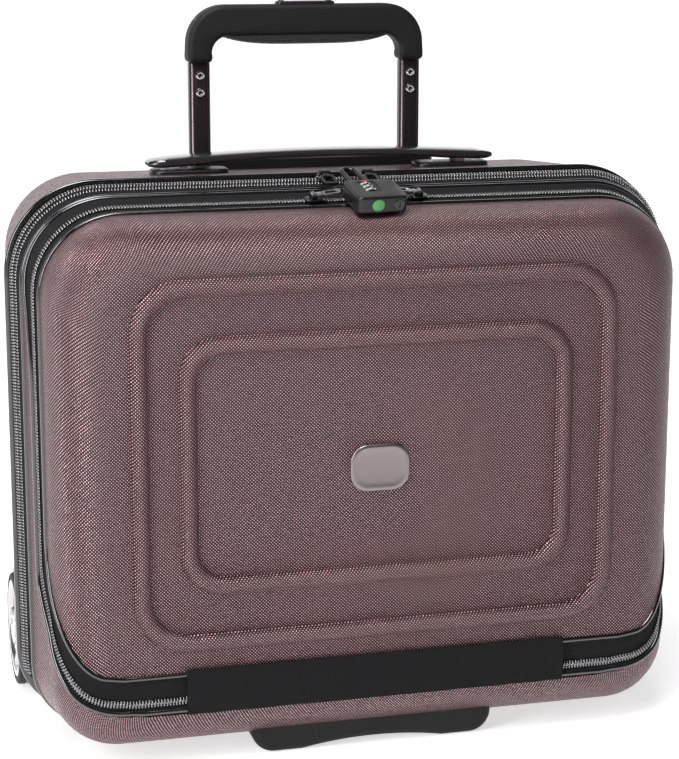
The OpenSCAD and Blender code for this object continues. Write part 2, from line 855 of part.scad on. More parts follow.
module hub(side) {
    spoke_n = 5;
    color("#b8b6ba") mirrored(side) translate([wheel_x - wheel_w + 0.5, wheel_y, wheel_r])
        rotate([0, 90, 0]) difference() {
            union() {
                difference() {
                    cylinder(r = hub_r, h = wheel_w - 1, $fn = 96);
                    translate([0, 0, 4]) cylinder(r = hub_r - 4, h = wheel_w, $fn = 96);
                }
                cylinder(r = 10, h = wheel_w - 4, $fn = 64);
                for (i = [0:spoke_n - 1]) rotate([0, 0, 90 + i * 360 / spoke_n])
                    translate([0, -3.5, 0]) cube([hub_r - 3, 7, wheel_w - 3.5]);
            }
            translate([0, 0, -1]) cylinder(r = axle_r + run_clear, h = wheel_w + 2, $fn = 64);
            translate([0, 0, wheel_w - 3.6]) cylinder(r = axle_r + 3.4, h = wheel_w, $fn = 64);
        }
}

// ---- carry handle ----------------------------------------------------------------------

// Bowed line at height z in the middle, dropping by sag at the handle's ends.
function bow(z, sag, dir) =
    [for (i = [-12:12]) let (t = dir * i / 12) [t * handle_half, z - sag * t * t]];

module carry_handle() {
    color("#1e1b1e") intersection() {
        translate([0, handle_y + handle_d / 2, 0]) rotate([90, 0, 0]) linear_extrude(handle_d)
            polygon(concat(bow(handle_low + handle_t, handle_bow, 1),
                bow(handle_low, handle_bow - 0.4, -1)));
        translate([0, handle_y, 0]) linear_extrude(far) rrect(2 * handle_half, handle_d, 9);
    }
}

module handle_slides() {
    stop_z = base_z - wall - handle_lift - 1;
    color("#7b7b80") for (side = [-1, 1]) translate([side * post_x, handle_y, 0]) {
        translate([0, 0, stop_z]) linear_extrude(handle_low - 2.5 - stop_z)
            square([post_w, post_d], center = true);
        translate([0, 0, stop_z - 2.4]) linear_extrude(2.4) rrect(post_w + 10, post_d + 6, 3);
    }
}

// ---- trolley -------------------------------------------------------------------------

module middle_tube(side) {
    slot_low = rivet_zs[1] - raised - rivet_head - gap;
    color("#8b7f82") difference() {
        tube(side, mid_tube_w, mid_tube_d, tube_foot + 2, cup_floor - 0.5);
        // open at the top for the rivets' heads, when the grip is down in its cup
        translate([side * tube_pitch / 2 - rivet_head - gap, trolley_y - mid_tube_d, slot_low])
            cube([2 * (rivet_head + gap), 2 * mid_tube_d, far]);
    }
}

module rivet_cuts(r) {
    for (side = [-1, 1], z = rivet_zs) translate([side * tube_pitch / 2, trolley_y, z])
        rotate([90, 0, 0]) cylinder(r = r, h = tube_d + 4, center = true, $fn = 32);
}

module top_tube(side) {
    color("#6d5f62") difference() {
        tube(side, tube_w, tube_d, top_tube_low, grip_low);
        rivet_cuts(rivet_r);
    }
}

module trolley_grip() {
    leg = tube_w + 1.6;
    color("#19171a") difference() {
        union() {
            translate([0, trolley_y + grip_d / 2, grip_low]) rotate([90, 0, 0]) linear_extrude(grip_d)
                difference() {
                    translate([0, grip_h - 50]) rrect(2 * grip_half, 100, 26);
                    translate([-grip_half - 1, -far]) square([far, far]);
                    translate([0, grip_h - grip_bar - 50]) rrect(2 * (grip_half - leg), 100, 10);
                }
            for (side = [-1, 1]) translate([side * tube_pitch / 2, trolley_y, grip_low - 30])
                linear_extrude(30 + eps) rrect(tube_w - 2 * tube_wall - 0.1,
                    tube_d - 2 * tube_wall - 0.1, tube_r - tube_wall);
        }
        rivet_cuts(rivet_r);
        // pocket for the button, and the ways for the release link
        translate([0, trolley_y, link_z + 3.6 - button_travel])
            linear_extrude(far) rrect(button_w + 0.8, 10.8, 3);
        block(-tube_pitch / 2 - 3, tube_pitch / 2 + 3, trolley_y - link_w / 2 - 0.4,
            trolley_y + link_w / 2 + 0.4, link_z - button_travel - 0.8, link_z + 5.5);
        for (side = [-1, 1]) translate([side * tube_pitch / 2, trolley_y, grip_low - 40])
            cylinder(r = 2.4, h = link_z + 5 - grip_low + 40, $fn = 32);
    }
}

module grip_pad() {
    w = grip_half - tube_w - 10;
    z = grip_low + grip_h - grip_bar;
    color("#0f0f10") translate([0, trolley_y, z]) rotate([90, 0, 0])
        linear_extrude(grip_d - 4, center = true) polygon(concat(
            [for (i = [-12:12]) let (t = i / 12) [t * w, -1 - (pad_h - 1) * (1 - pow(t, 4))]],
            [[w, 0], [-w, 0]]));
}

module grip_rivets() {
    color("#cfcfd2") for (side = [-1, 1], z = rivet_zs, face = [-1, 1])
        translate([side * tube_pitch / 2, trolley_y + face * tube_d / 2, z]) rotate([face * -90, 0, 0]) {
            difference() {
                cylinder(r = rivet_head, h = rivet_out, $fn = 48);
                translate([0, 0, 0.4]) cylinder(r = 1, h = 1, $fn = 32);
            }
            translate([0, 0, -rivet_in]) cylinder(r = rivet_r, h = rivet_in, $fn = 32);
        }
}

module trolley_button() {
    color("#232124") translate([0, trolley_y, link_z + 4.1])
        linear_extrude(grip_low + grip_h - link_z - 4.1 + button_travel) rrect(button_w, 10, 2.6);
}

module release_link() {
    rod_low = top_tube_low + 12;
    color("#77777b") {
        block(-tube_pitch / 2 - 2.2, tube_pitch / 2 + 2.2, trolley_y - link_w / 2, trolley_y + link_w / 2,
            link_z, link_z + 4);
        for (side = [-1, 1]) translate([side * tube_pitch / 2, trolley_y, rod_low]) {
            cylinder(r = 1.9, h = link_z + 1 - rod_low, $fn = 32);
            linear_extrude(8) rrect(11, 6, 2);
        }
    }
}

rear_shell();
rear_piping();
main_zip_rear();
rear_lining();
trolley_cup();
outer_tube(-1);  // outer_tube_left
outer_tube(1);  // outer_tube_right
trolley_bracket();
wheel_housing(-1);  // wheel_housing_left
wheel_housing(1);  // wheel_housing_right
axle(-1);  // axle_left
axle(1);  // axle_right
handle_base(-1);  // handle_base_left
handle_base(1);  // handle_base_right
rear_screws();
main_hinge_strip();
mid_shell();
mid_piping();
main_zip_front();
pocket_zip_frame();
pocket_divider();
front_foot();
foot_screws();
front_hinge_strap();
panel_shell();
panel_piping();
pocket_zip_panel();
badge();
panel_lining();
main_slider(-1);  // main_slider_left
main_slider(1);  // main_slider_right
pocket_slider(-1);  // pocket_slider_left
pocket_slider(1);  // pocket_slider_right
main_pull(-1);  // main_pull_left
main_pull(1);  // main_pull_right
pocket_pull(-1);  // pocket_pull_left
pocket_pull(1);  // pocket_pull_right
padlock_case();
padlock_side();
padlock_dot();
padlock_shackle();
dial(2);  // dial_front
dial(1);  // dial_middle
dial(0);  // dial_rear
key_plug();
tyre(-1);  // tyre_left
tyre(1);  // tyre_right
hub(-1);  // hub_left
hub(1);  // hub_right
carry_handle();
handle_slides();
middle_tube(-1);  // middle_tube_left
middle_tube(1);  // middle_tube_right
top_tube(-1);  // top_tube_left
top_tube(1);  // top_tube_right
trolley_grip();
grip_pad();
grip_rivets();
trolley_button();
release_link();
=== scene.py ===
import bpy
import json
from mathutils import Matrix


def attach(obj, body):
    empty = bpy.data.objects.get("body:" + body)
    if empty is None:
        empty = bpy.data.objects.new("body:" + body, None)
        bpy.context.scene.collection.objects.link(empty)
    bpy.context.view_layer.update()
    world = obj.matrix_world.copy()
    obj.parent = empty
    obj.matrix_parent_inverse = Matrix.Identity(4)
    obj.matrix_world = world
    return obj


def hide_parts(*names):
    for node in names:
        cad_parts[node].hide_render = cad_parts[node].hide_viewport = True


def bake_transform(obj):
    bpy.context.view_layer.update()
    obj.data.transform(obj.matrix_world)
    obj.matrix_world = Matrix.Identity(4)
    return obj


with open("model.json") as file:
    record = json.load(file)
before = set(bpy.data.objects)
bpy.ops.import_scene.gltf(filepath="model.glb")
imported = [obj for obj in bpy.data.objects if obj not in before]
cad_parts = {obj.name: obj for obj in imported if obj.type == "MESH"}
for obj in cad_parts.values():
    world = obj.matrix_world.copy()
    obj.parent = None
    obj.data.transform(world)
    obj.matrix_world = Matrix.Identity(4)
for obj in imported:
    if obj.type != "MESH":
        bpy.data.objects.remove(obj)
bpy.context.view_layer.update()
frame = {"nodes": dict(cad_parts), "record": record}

import json
import math
import bmesh
import bpy
from mathutils import Matrix, Vector

print("stage: helpers")
mm = 0.001                               # pieces are drawn in millimetres and made in metres
caseSize = {"halfWidth": 211, "top": 348, "low": 9, "topRadius": 55, "bottomRadius": 45,
            "frontY": -105.5, "backY": 108, "frontRadius": 31.5, "chinRadius": 25,
            "backRadius": 24, "draft": 10, "topDraft": 7, "wall": 2.2}


class Value:
    # An output socket that takes part in ordinary sums.
    def __init__(self, look, socket):
        self.look, self.socket = look, socket

    def __add__(self, other): return self.look.maths("ADD", self, other)
    def __radd__(self, other): return self.look.maths("ADD", other, self)
    def __sub__(self, other): return self.look.maths("SUBTRACT", self, other)
    def __rsub__(self, other): return self.look.maths("SUBTRACT", other, self)
    def __mul__(self, other): return self.look.maths("MULTIPLY", self, other)
    def __rmul__(self, other): return self.look.maths("MULTIPLY", other, self)
    def __truediv__(self, other): return self.look.maths("DIVIDE", self, other)
    def __rtruediv__(self, other): return self.look.maths("DIVIDE", other, self)
    def __pow__(self, other): return self.look.maths("POWER", self, other)
    def abs(self): return self.look.maths("ABSOLUTE", self)
    def fract(self): return self.look.maths("FRACT", self)
    def floor(self): return self.look.maths("FLOOR", self)
    def sin(self): return self.look.maths("SINE", self)
    def sign(self): return self.look.maths("SIGN", self)
    def over(self, other): return self.look.maths("GREATER_THAN", self, other)
    def max(self, other): return self.look.maths("MAXIMUM", self, other)

    def spread(self, low, high, toLow=0.0, toHigh=1.0):
        node = self.look.add("ShaderNodeMapRange", {"clamp": True},
                             {"Value": self, "From Min": low, "From Max": high,
                              "To Min": toLow, "To Max": toHigh})
        return Value(self.look, node.outputs["Result"])


class Look:
    # A procedural material around one Principled shader.
    def __init__(self, name, color, roughness, metallic=0.0, **more):
        self.mat = bpy.data.materials.new(name)
        self.mat.use_nodes = True
        self.tree = self.mat.node_tree
        self.tree.nodes.clear()
        self.shader = self.add("ShaderNodeBsdfPrincipled", {}, {})
        out = self.add("ShaderNodeOutputMaterial", {}, {})
        self.tree.links.new(self.shader.outputs[0], out.inputs[0])
        self.set("Base Color", color)
        self.set("Roughness", roughness)
        self.set("Metallic", metallic)
        for key, value in more.items():
            self.set(key.replace("_", " "), value)
        self.mat.diffuse_color = tuple(color) + (1,) if isinstance(color, tuple) else (0.1, 0.1, 0.1, 1)

    def plug(self, socket, value):
        if isinstance(value, Value):
            self.tree.links.new(value.socket, socket)
        elif isinstance(value, (tuple, list)) and socket.type == "RGBA":
            socket.default_value = tuple(value) + (1,) if len(value) == 3 else value
        else:
            socket.default_value = value

    def add(self, kind, settings, sockets):
        node = self.tree.nodes.new(kind)
        for key, value in settings.items():
            setattr(node, key, value)
        for key, value in sockets.items():
            self.plug(node.inputs[key], value)
        return node

    def maths(self, operation, *values):
        node = self.add("ShaderNodeMath", {"operation": operation}, {})
        for i, value in enumerate(values):
            self.plug(node.inputs[i], value)
        return Value(self, node.outputs[0])

    def set(self, name, value):
        self.plug(self.shader.inputs[name], value)

    def mix(self, factor, a, b):
        node = self.add("ShaderNodeMix", {"data_type": "RGBA"}, {})
        self.plug(node.inputs[0], factor)
        self.plug(node.inputs[6], a)
        self.plug(node.inputs[7], b)
        return Value(self, node.outputs[2])

    def vector(self, kind="object"):
        if kind == "object":
            return Value(self, self.add("ShaderNodeTexCoord", {}, {}).outputs["Object"])
        return Value(self, self.add("ShaderNodeUVMap", {"uv_map": kind}, {}).outputs[0])

    def split(self, vector):
        node = self.add("ShaderNodeSeparateXYZ", {}, {"Vector": vector})
        return [Value(self, node.outputs[i]) for i in range(3)]

    def join(self, x, y, z):
        return Value(self, self.add("ShaderNodeCombineXYZ", {}, {"X": x, "Y": y, "Z": z}).outputs[0])

    def noise(self, vector, scale, detail=2.0, roughness=0.5):
        node = self.add("ShaderNodeTexNoise", {}, {"Vector": vector, "Scale": scale,
                                                  "Detail": detail, "Roughness": roughness})
        return Value(self, node.outputs[0])

    def random(self, vector):
        node = self.add("ShaderNodeTexWhiteNoise", {"noise_dimensions": "3D"}, {"Vector": vector})
        return Value(self, node.outputs[0])

    def bump(self, height, distance, strength=1.0):
        node = self.add("ShaderNodeBump", {}, {"Height": height, "Distance": distance, "Strength": strength})
        self.set("Normal", Value(self, node.outputs[0]))
        return Value(self, node.outputs[0])


def makePiece(name, points, faces, uvs=None, sharp=35):
    mesh = bpy.data.meshes.new(name)
    mesh.from_pydata([(p[0] * mm, p[1] * mm, p[2] * mm) for p in points], [], faces)
    if uvs:
        layer = mesh.uv_layers.new(name="weave")
        for i, uv in enumerate(c for face in uvs for c in face):
            layer.data[i].uv = (uv[0] * mm, uv[1] * mm)
    obj = bpy.data.objects.new(name, mesh)
    bpy.context.scene.collection.objects.link(obj)
    tidyMesh(mesh, sharp)
    return obj


def tidyMesh(mesh, sharp):
    work = bmesh.new()
    work.from_mesh(mesh)
    bmesh.ops.remove_doubles(work, verts=work.verts, dist=2e-6)
    bmesh.ops.recalc_face_normals(work, faces=work.faces)
    work.to_mesh(mesh)
    work.free()
    mesh.shade_smooth()
    mesh.set_sharp_from_angle(angle=math.radians(sharp))


def bake(obj, sharp=35):
    graph = bpy.context.evaluated_depsgraph_get()
    mesh = bpy.data.meshes.new_from_object(obj.evaluated_get(graph), preserve_all_data_layers=True, depsgraph=graph)
    obj.modifiers.clear()
    mesh.name = obj.name
    obj.data = mesh
    tidyMesh(mesh, sharp)
    return obj


def bevel(obj, width, segments=3, angle=40, sharp=35):
    change = obj.modifiers.new("edges", "BEVEL")
    change.width = width * mm
    change.segments = segments
    change.limit_method = "ANGLE"
    change.angle_limit = math.radians(angle)
    change.harden_normals = False
    return bake(obj, sharp)


def thicken(obj, thickness, sharp=35):
    change = obj.modifiers.new("wall", "SOLIDIFY")
    change.thickness = thickness * mm
    change.offset = -1
    change.use_even_offset = True
    return bake(obj, sharp)


def cut(obj, *tools, sharp=35):
    for tool in tools:
        change = obj.modifiers.new("cut", "BOOLEAN")
        change.operation = "DIFFERENCE"
        change.solver = "EXACT"
        change.object = tool
        bake(obj, sharp)
        bpy.data.objects.remove(tool)
    return obj


def join(name, *parts):
    points, faces, uvs = [], [], []
    for part in parts:
        base = len(points)
        points += [tuple(v.co / mm) for v in part.data.vertices]
        layer = part.data.uv_layers.get("weave")
        for face in part.data.polygons:
            faces.append([base + i for i in face.vertices])
            uvs.append([tuple(layer.data[i].uv / mm) if layer else (0, 0) for i in face.loop_indices])
        bpy.data.objects.remove(part)
    return makePiece(name, points, faces, uvs)


def finish(obj, look, body, *nodes, slot=None):
    obj.data.materials.clear()
    obj.data.materials.append(look.mat)
    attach(obj, body)
    if nodes:
        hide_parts(*nodes)
    return obj


def gridFaces(rows, cols, base=0, wrap=False):
    faces = []
    for r in range(rows - 1):
        for c in range(cols if wrap else cols - 1):
            d = (c + 1) % cols
            faces.append((base + r * cols + c, base + r * cols + d,
                          base + (r + 1) * cols + d, base + (r + 1) * cols + c))
    return faces


def gridUvs(uvRows, wrap=False):
    # uvRows hold one column more than the points where the grid wraps.
    cols = len(uvRows[0]) - 1
    return [(uvRows[r][c], uvRows[r][c + 1], uvRows[r + 1][c + 1], uvRows[r + 1][c])
            for r in range(len(uvRows) - 1) for c in range(cols)]


def lengths(points, closed=False):
    total = [0.0]
    for a, b in zip(points, points[1:] + (points[:1] if closed else [])):
        total.append(total[-1] + math.dist(a, b))
    return total


def resample(path, count, closed=True):
    # path is a list of (point, normal); gives count places evenly spaced along it.
    points = [p for p, n in path]
    marks = lengths(points, closed)
    whole = marks[-1]
    out, k = [], 0
    for i in range(count):
        want = whole * i / (count if closed else count - 1)
        while k < len(marks) - 2 and marks[k + 1] < want:
            k += 1
        part = (want - marks[k]) / max(marks[k + 1] - marks[k], 1e-9)
        (p, n), (q, m) = path[k], path[(k + 1) % len(path)]
        out.append((tuple(a + (b - a) * part for a, b in zip(p, q)),
                    tuple(Vector([a + (b - a) * part for a, b in zip(n, m)]).normalized())))
    return out


def loft(name, rings, caps=True, sharp=35, close=False):
    cols = len(rings[0])
    points = [p for ring in rings for p in ring]
    faces = gridFaces(len(rings), cols, wrap=True)
    if close:
        last = (len(rings) - 1) * cols
        faces += [(last + c, last + (c + 1) % cols, (c + 1) % cols, c) for c in range(cols)]
    elif caps:
        faces += [tuple(range(cols)), tuple(range(len(points) - cols, len(points)))]
    return makePiece(name, points, faces, sharp=sharp)


def sweep(name, path, profile, closed=True, sharp=50):
    # profile is a loop of (across, out) offsets round the path.
    rings = []
    count = len(path)
    for i, (p, n) in enumerate(path):
        before = path[i - 1][0] if closed or i else p
        after = path[(i + 1) % count][0] if closed or i < count - 1 else p
        along = (Vector(after) - Vector(before)).normalized()
        out = Vector(n)
        out = (out - along * out.dot(along)).normalized()
        side = along.cross(out)
        rings.append([tuple(Vector(p) + side * a + out * b) for a, b in profile])
    return loft(name, rings, caps=not closed, sharp=sharp, close=closed)


def ribbon(name, a, b, thickness, closed, across=5, bulge=0.0):
    # Cloth strip between two paths with the same number of places.
    cols = len(a)
    marks = lengths([p for p, n in a], closed)
    if not closed:
        marks = marks[:cols]
    rows, uvRows = [], []
    for r in range(across + 1):
        t = r / across
        row = []
        for (p, n), (q, m) in zip(a, b):
            lift = bulge * 4 * t * (1 - t)
            row.append(tuple(x + (y - x) * t + u * lift for x, y, u in zip(p, q, n)))
        rows.append(row)
        wide = math.dist(a[cols // 2][0], b[cols // 2][0]) * t
        uvRows.append([(s, wide) for s in marks])
    obj = makePiece(name, [p for row in rows for p in row], gridFaces(across + 1, cols, wrap=closed),
                    gridUvs(uvRows))
    # the outer face has to look outwards before it's thickened
    face = obj.data.polygons[len(obj.data.polygons) // 2]
    nearest = min(a, key=lambda pn: math.dist(pn[0], tuple(face.center / mm)))
    if face.normal.dot(Vector(nearest[1])) < 0:
        obj.data.flip_normals()
    return thicken(obj, thickness)


def arc(r, degrees, rise=None):
    return [(r * math.cos(math.radians(a)), (r if rise is None else rise) * math.sin(math.radians(a)))
            for a in degrees]


def roundRect(w, d, r, steps=6, cx=0.0, cy=0.0):
    out = []
    for k, (sx, sy) in enumerate(((1, 1), (-1, 1), (-1, -1), (1, -1))):
        for i in range(steps + 1):
            a = math.radians(90 * k + 90 * i / steps)
            out.append((cx + sx * (w / 2 - r) + r * math.cos(a), cy + sy * (d / 2 - r) + r * math.sin(a)))
    return out


def prism(name, loop, low, high, place=Matrix(), sharp=35):
    # loop lies in the place's own XY plane.
    rings = [[tuple(place @ Vector((x, y, z))) for x, y in loop] for z in (low, high)]
    return loft(name, rings, sharp=sharp)


def lathe(name, profile, place, steps=64, sharp=35, wave=None):
    # profile is a closed loop of (radius, height) round the place's own Z.
    rings = []
    for i in range(steps):
        a = 2 * math.pi * i / steps
        ring = []
        for r, z in profile:
            if wave:
                r = wave(r, z, a)
            ring.append(tuple(place @ Vector((r * math.cos(a), r * math.sin(a), z))))
        rings.append(ring)
    return loft(name, rings, close=True, sharp=sharp)


def turn(x=0, y=0, z=0):
    return (Matrix.Rotation(math.radians(z), 4, "Z") @ Matrix.Rotation(math.radians(y), 4, "Y")
            @ Matrix.Rotation(math.radians(x), 4, "X"))


def move(x, y, z):
    return Matrix.Translation((x, y, z))


cornerSteps, straightSteps = 14, 52
columnCount = 4 * (cornerSteps + straightSteps)


def casePoint(column, side, low, up=0.0):
    # x, z and the outward direction at a column of the case's outline, seen from the front.
    halfW, high, base = caseSize["halfWidth"] - side, caseSize["top"] - side + up, caseSize["low"] + low
    rt, rb = caseSize["topRadius"] - side * 0.45, caseSize["bottomRadius"] - side * 0.45
    centres = ((halfW - rt, high - rt, rt), (rt - halfW, high - rt, rt),
               (rb - halfW, base + rb, rb), (halfW - rb, base + rb, rb))
    quarter, step = divmod(column % columnCount, cornerSteps + straightSteps)
    cx, cz, r = centres[int(quarter)]
    a = math.radians(90 * quarter + 90 * min(step, cornerSteps) / cornerSteps)
    x, z = cx + r * math.cos(a), cz + r * math.sin(a)
    if step > cornerSteps:
        dx, dz, dr = centres[int(quarter + 1) % 4]
        t = (step - cornerSteps) / straightSteps
        x += (dx + dr * math.cos(a) - x) * t
        z += (dz + dr * math.sin(a) - z) * t
    return x, z, math.cos(a), math.sin(a)


def frontPoint(column, q, g=0.0):
    # q runs 0 to 1 from the main rim to the panel's rim, then to 2 round the front edge;
    # g is the depth below the outer face.
    if q <= 1:
        x, z, nx, nz = casePoint(column, 7.2 + 7 * q + g, 1 + g)
        lean = math.radians(14) if nz >= -0.01 else 0.0
        return (x, -46 - 28 * q, z), (nx * math.cos(lean), -math.sin(lean), nz * math.cos(lean))
    a = math.radians(90 * (q - 1))
    r, c = caseSize["frontRadius"], caseSize["chinRadius"]
    x, z, nx, nz = casePoint(column, 14.2 + r - (r - g) * math.cos(a), 1 + c - (c - g) * math.cos(a))
    return (x, -74 - (r - g) * math.sin(a), z), (nx * math.cos(a), -math.sin(a), nz * math.cos(a))


def isAhead(y, z, dy, lift, drop):
    # Whether a place is on the panel's side of a seam line, given as in the CAD source.
    y0, z0, q = -62 + dy, 112 + lift, 14
    if y >= y0:
        return False
    slope = (z0 - 47 - drop) / (y0 + 105.5)
    if y > y0 - q:
        t = math.sqrt((y0 - y) / q)
        return z > z0 + q * (1 - t) ** 2 - t * t * q * slope
    return z > z0 - slope * (y0 - y)


def crossing(column, seam, g=0.0):
    p, n = frontPoint(column, 2, g)
    if not isAhead(p[1] + 1e-6, p[2], *seam):
        return None
    a, b = 0.0, 2.0
    for i in range(24):
        half = (a + b) / 2
        p, n = frontPoint(column, half, g)
        if isAhead(p[1], p[2], *seam):
            b = half
        else:
            a = half
    return (a + b) / 2


def upperColumns(seam, g=0.0):
    # The columns that a seam crosses, from the right foot over the top to the left foot.
    found = [(c, crossing(c, seam, g)) for c in range(columnCount)]
    half = int(2.5 * (cornerSteps + straightSteps))
    order = [f for f in found[half:] + found[:half] if f[1] is not None]
    for end, outside in ((0, -1), (-1, 1)):
        # the exact column where the seam reaches the flat front
        near, away = 0.0, float(outside)
        column = order[end][0]
        for i in range(20):
            middle = (near + away) / 2
            if crossing(column + middle, seam, g) is None:
                away = middle
            else:
                near = middle
        order.insert(0 if end == 0 else len(order), (column + near, 2.0))
    return order


def seamPath(seam, g=0.0, count=560):
    path = [frontPoint(c, q, g) for c, q in upperColumns(seam, g)]
    z = 47 + seam[2]
    left, right = path[-1][0][0], path[0][0][0]
    y = caseSize["frontY"] + g
    steps = 64
    for i in range(1, steps):
        x = left + 3 + (right - left - 6) * i / steps
        path.append(((x, y, z), (0, -1, 0)))
    return resample(path, count)


def ringPath(y, side, low, count=560, over=None):
    # Closed path round the case at one depth, or an open one over the part above a height.
    path = [((x, y, z), (nx, 0, nz)) for x, z, nx, nz in
            (casePoint(c, side, low) for c in range(columnCount))]
    if over is None:
        return resample(path, count)
    start = next(c for c in range(3 * columnCount // 4, columnCount) if path[c][0][2] > over)
    path = path[start:] + path[:start]
    return resample([pn for pn in path if pn[0][2] > over], count, closed=False)


print("stage: materials")


def weaveLook(name, values):
    # Fine lattice of small diamonds standing at 45 degrees to the case's edges, on a dark ground. Each diamond's tip
    # is a bright metallic dot; its light colour is a painted highlight, and its metal also mirrors the lamps. The
    # creases between diamonds are darkened as painted shade.
    look = Look(name, values["ground"], values["roughness"], IOR=1.45)
    u, v, w = look.split(look.vector("weave"))
    pitch = values["pitch"] * mm * math.sqrt(2)
    a, b = (u + v) / pitch, (u - v) / pitch
    dice = look.random(look.join(a.floor(), b.floor(), 0.0))
    fa, fb = (a.fract() - 0.5) * 2, (b.fract() - 0.5) * 2
    # each diamond's faces lean outwards from its tip, a little unevenly
    alongA = fa.abs().over(fb.abs())
    steep = values["slope"] * (1 + (dice - 0.5) * values["unevenness"])
    leanA = steep * (fa * (1 - values["facet"]) + fa.sign() * alongA * values["facet"])
    leanB = steep * (fb * (1 - values["facet"]) + fb.sign() * (1 - alongA) * values["facet"])
    leanU, leanV = (leanA + leanB) * 0.7071, (leanA - leanB) * 0.7071
    size = (leanU * leanU + leanV * leanV + 1) ** 0.5
    color = look.join(leanU / size * 0.5 + 0.5, leanV / size * 0.5 + 0.5, 0.5 / size + 0.5)
    bent = look.add("ShaderNodeNormalMap", {"space": "TANGENT", "uv_map": "weave"}, {"Color": color})
    look.set("Normal", Value(look, bent.outputs[0]))
    # the dot mask marks each diamond's tip, which gets the light glint colour as a painted highlight and is made
    # metallic so it also reflects the lamps
    reach = fa.abs().max(fb.abs())
    dot = reach.spread(values["dot"] - 0.03, values["dot"] + 0.03, 1.0, 0.0) * (1 - dice * values["unevenness"])
    # the ground turns near black towards each diamond's edge, painted shade in the creases between diamonds, with a
    # little random tone from a noise cloud mixed in
    cloud = look.noise(look.vector(), 9, 3).spread(0.3, 0.7)
    ground = look.mix(reach.spread(values["dot"], 1.0) * 0.8 + cloud * 0.2, values["ground"], values["valley"])
    look.set("Base Color", look.mix(dot, ground, values["glint"]))
    look.set("Metallic", dot * values["metal"])
    look.set("Roughness", values["roughness"] + dice * 0.10)
    return look


def clothLook(name, color, pitch=0.9, relief=0.12, roughness=0.85, crestSheen=0.5, flat=True):
    look = Look(name, color, roughness, Specular_IOR_Level=0.2)
    u, v, w = look.split(look.vector("weave" if flat else "object"))
    if not flat:
        u, v = u + v, w + v
    p = pitch * mm
    a, b = (u / p).fract(), (v / p).fract()
    checker = (((u / p).floor() + (v / p).floor()) * 0.5).fract().over(0.25)
    warp, weft = (a * math.pi).sin(), (b * math.pi).sin()
    height = warp * checker + weft * (1 - checker)
    look.bump(height, relief * mm)
    # each thread's crest is painted lighter than the cloth's own colour, a painted highlight that follows the
    # weave's height
    lighter = tuple(min(1.0, c * 3 + 0.01) for c in color)
    look.set("Base Color", look.mix(height * crestSheen, color, lighter))
    return look


def solidLook(name, color, roughness, metallic=0.0, grain=0.0, grainScale=900, wear=0.12, **more):
    # Plain finish with a fine grain and slightly uneven gloss.
    look = Look(name, color, roughness, metallic, **more)
    place = look.vector()
    patch = look.noise(place, 35, 3)
    look.set("Roughness", roughness + (patch - 0.5) * wear)
    if grain:
        look.bump(look.noise(place, grainScale, 2), grain * mm)
    return look


def drawnLook(name, color, roughness, streak=0.12):
    # Anodised metal with fine lines along the case's height.
    look = Look(name, color, roughness, 1.0)
    x, y, z = look.split(look.vector())
    lines = look.noise(look.join(x * 2600, y * 2600, z * 14), 1.0, 2)
    look.set("Roughness", roughness + (lines - 0.5) * streak)
    look.bump(lines, 0.006 * mm)
    return look


# the glint colour is a painted highlight on each diamond's tip, metallic so it also mirrors the lamps; the darkest
# colour is painted shade in the creases between diamonds
shellValues = {"ground": (0.050, 0.001, 0.0045), "glint": (0.80, 0.55, 0.575), "valley": (0.004, 0.0003, 0.0008),
               "metal": 1.0, "roughness": 0.30, "pitch": 1.46, "dot": 0.40, "slope": 0.8, "facet": 0.3,
               "unevenness": 0.3}
shellLook = weaveLook("wovenShell", shellValues)
pipingLook = solidLook("glossyPiping", (0.004, 0.0035, 0.004), 0.16, wear=0.08, Coat_Weight=1.0, Coat_Roughness=0.1)
tapeLook = clothLook("zipperTape", (0.004, 0.004, 0.0045), pitch=0.85)
strapLook = clothLook("hingeStrap", (0.002, 0.002, 0.0025), pitch=0.75, relief=0.08)
liningLook = clothLook("liningCloth", (0.075, 0.075, 0.085), pitch=0.7, relief=0.06, roughness=0.7, flat=False)
toothLook = solidLook("nickelTeeth", (0.25, 0.245, 0.25), 0.2, 1.0)
blackLook = solidLook("satinBlack", (0.004, 0.0038, 0.004), 0.38, grain=0.03, grainScale=1500)
mattLook = solidLook("mattBlack", (0.004, 0.004, 0.0042), 0.62, grain=0.05, grainScale=1400,
                     Specular_IOR_Level=0.3)
rubberLook = solidLook("softRubber", (0.005, 0.005, 0.005), 0.72, grain=0.04, grainScale=1100,
                       Specular_IOR_Level=0.3)
tyreLook = solidLook("tyreRubber", (0.008, 0.008, 0.0082), 0.66, grain=0.05, grainScale=700,
                     Specular_IOR_Level=0.3)
tubeLook = drawnLook("gunmetalTube", (0.11, 0.085, 0.09), 0.28)
handleLook = solidLook("handleGloss", (0.030, 0.026, 0.029), 0.17, 0.35, wear=0.06, Coat_Weight=0.6,
                       Coat_Roughness=0.08)
steelLook = solidLook("platedSteel", (0.52, 0.52, 0.54), 0.27, 1.0)
chromeLook = solidLook("chrome", (0.62, 0.61, 0.63), 0.12, 1.0, wear=0.06)
hubLook = solidLook("hubMetal", (0.50, 0.48, 0.50), 0.24, 1.0, wear=0.08)
sliderLook = solidLook("blackNickel", (0.045, 0.043, 0.046), 0.24, 0.85, wear=0.08)
brightPullLook = solidLook("brightNickel", (0.30, 0.29, 0.30), 0.22, 1.0, wear=0.08)
lockLook = solidLook("lockBody", (0.010, 0.0095, 0.010), 0.32, 0.3, grain=0.03, grainScale=1300)
badgeLook = solidLook("badgeMetal", (0.24, 0.205, 0.205), 0.34, 1.0, grain=0.01, grainScale=1500)
dotLook = solidLook("greenDot", (0.03, 0.27, 0.055), 0.30, Coat_Weight=0.5)

print("stage: shells")
rearValues = {"rows": 12, "rimY": -17.2, "wellRadius": 42.4}


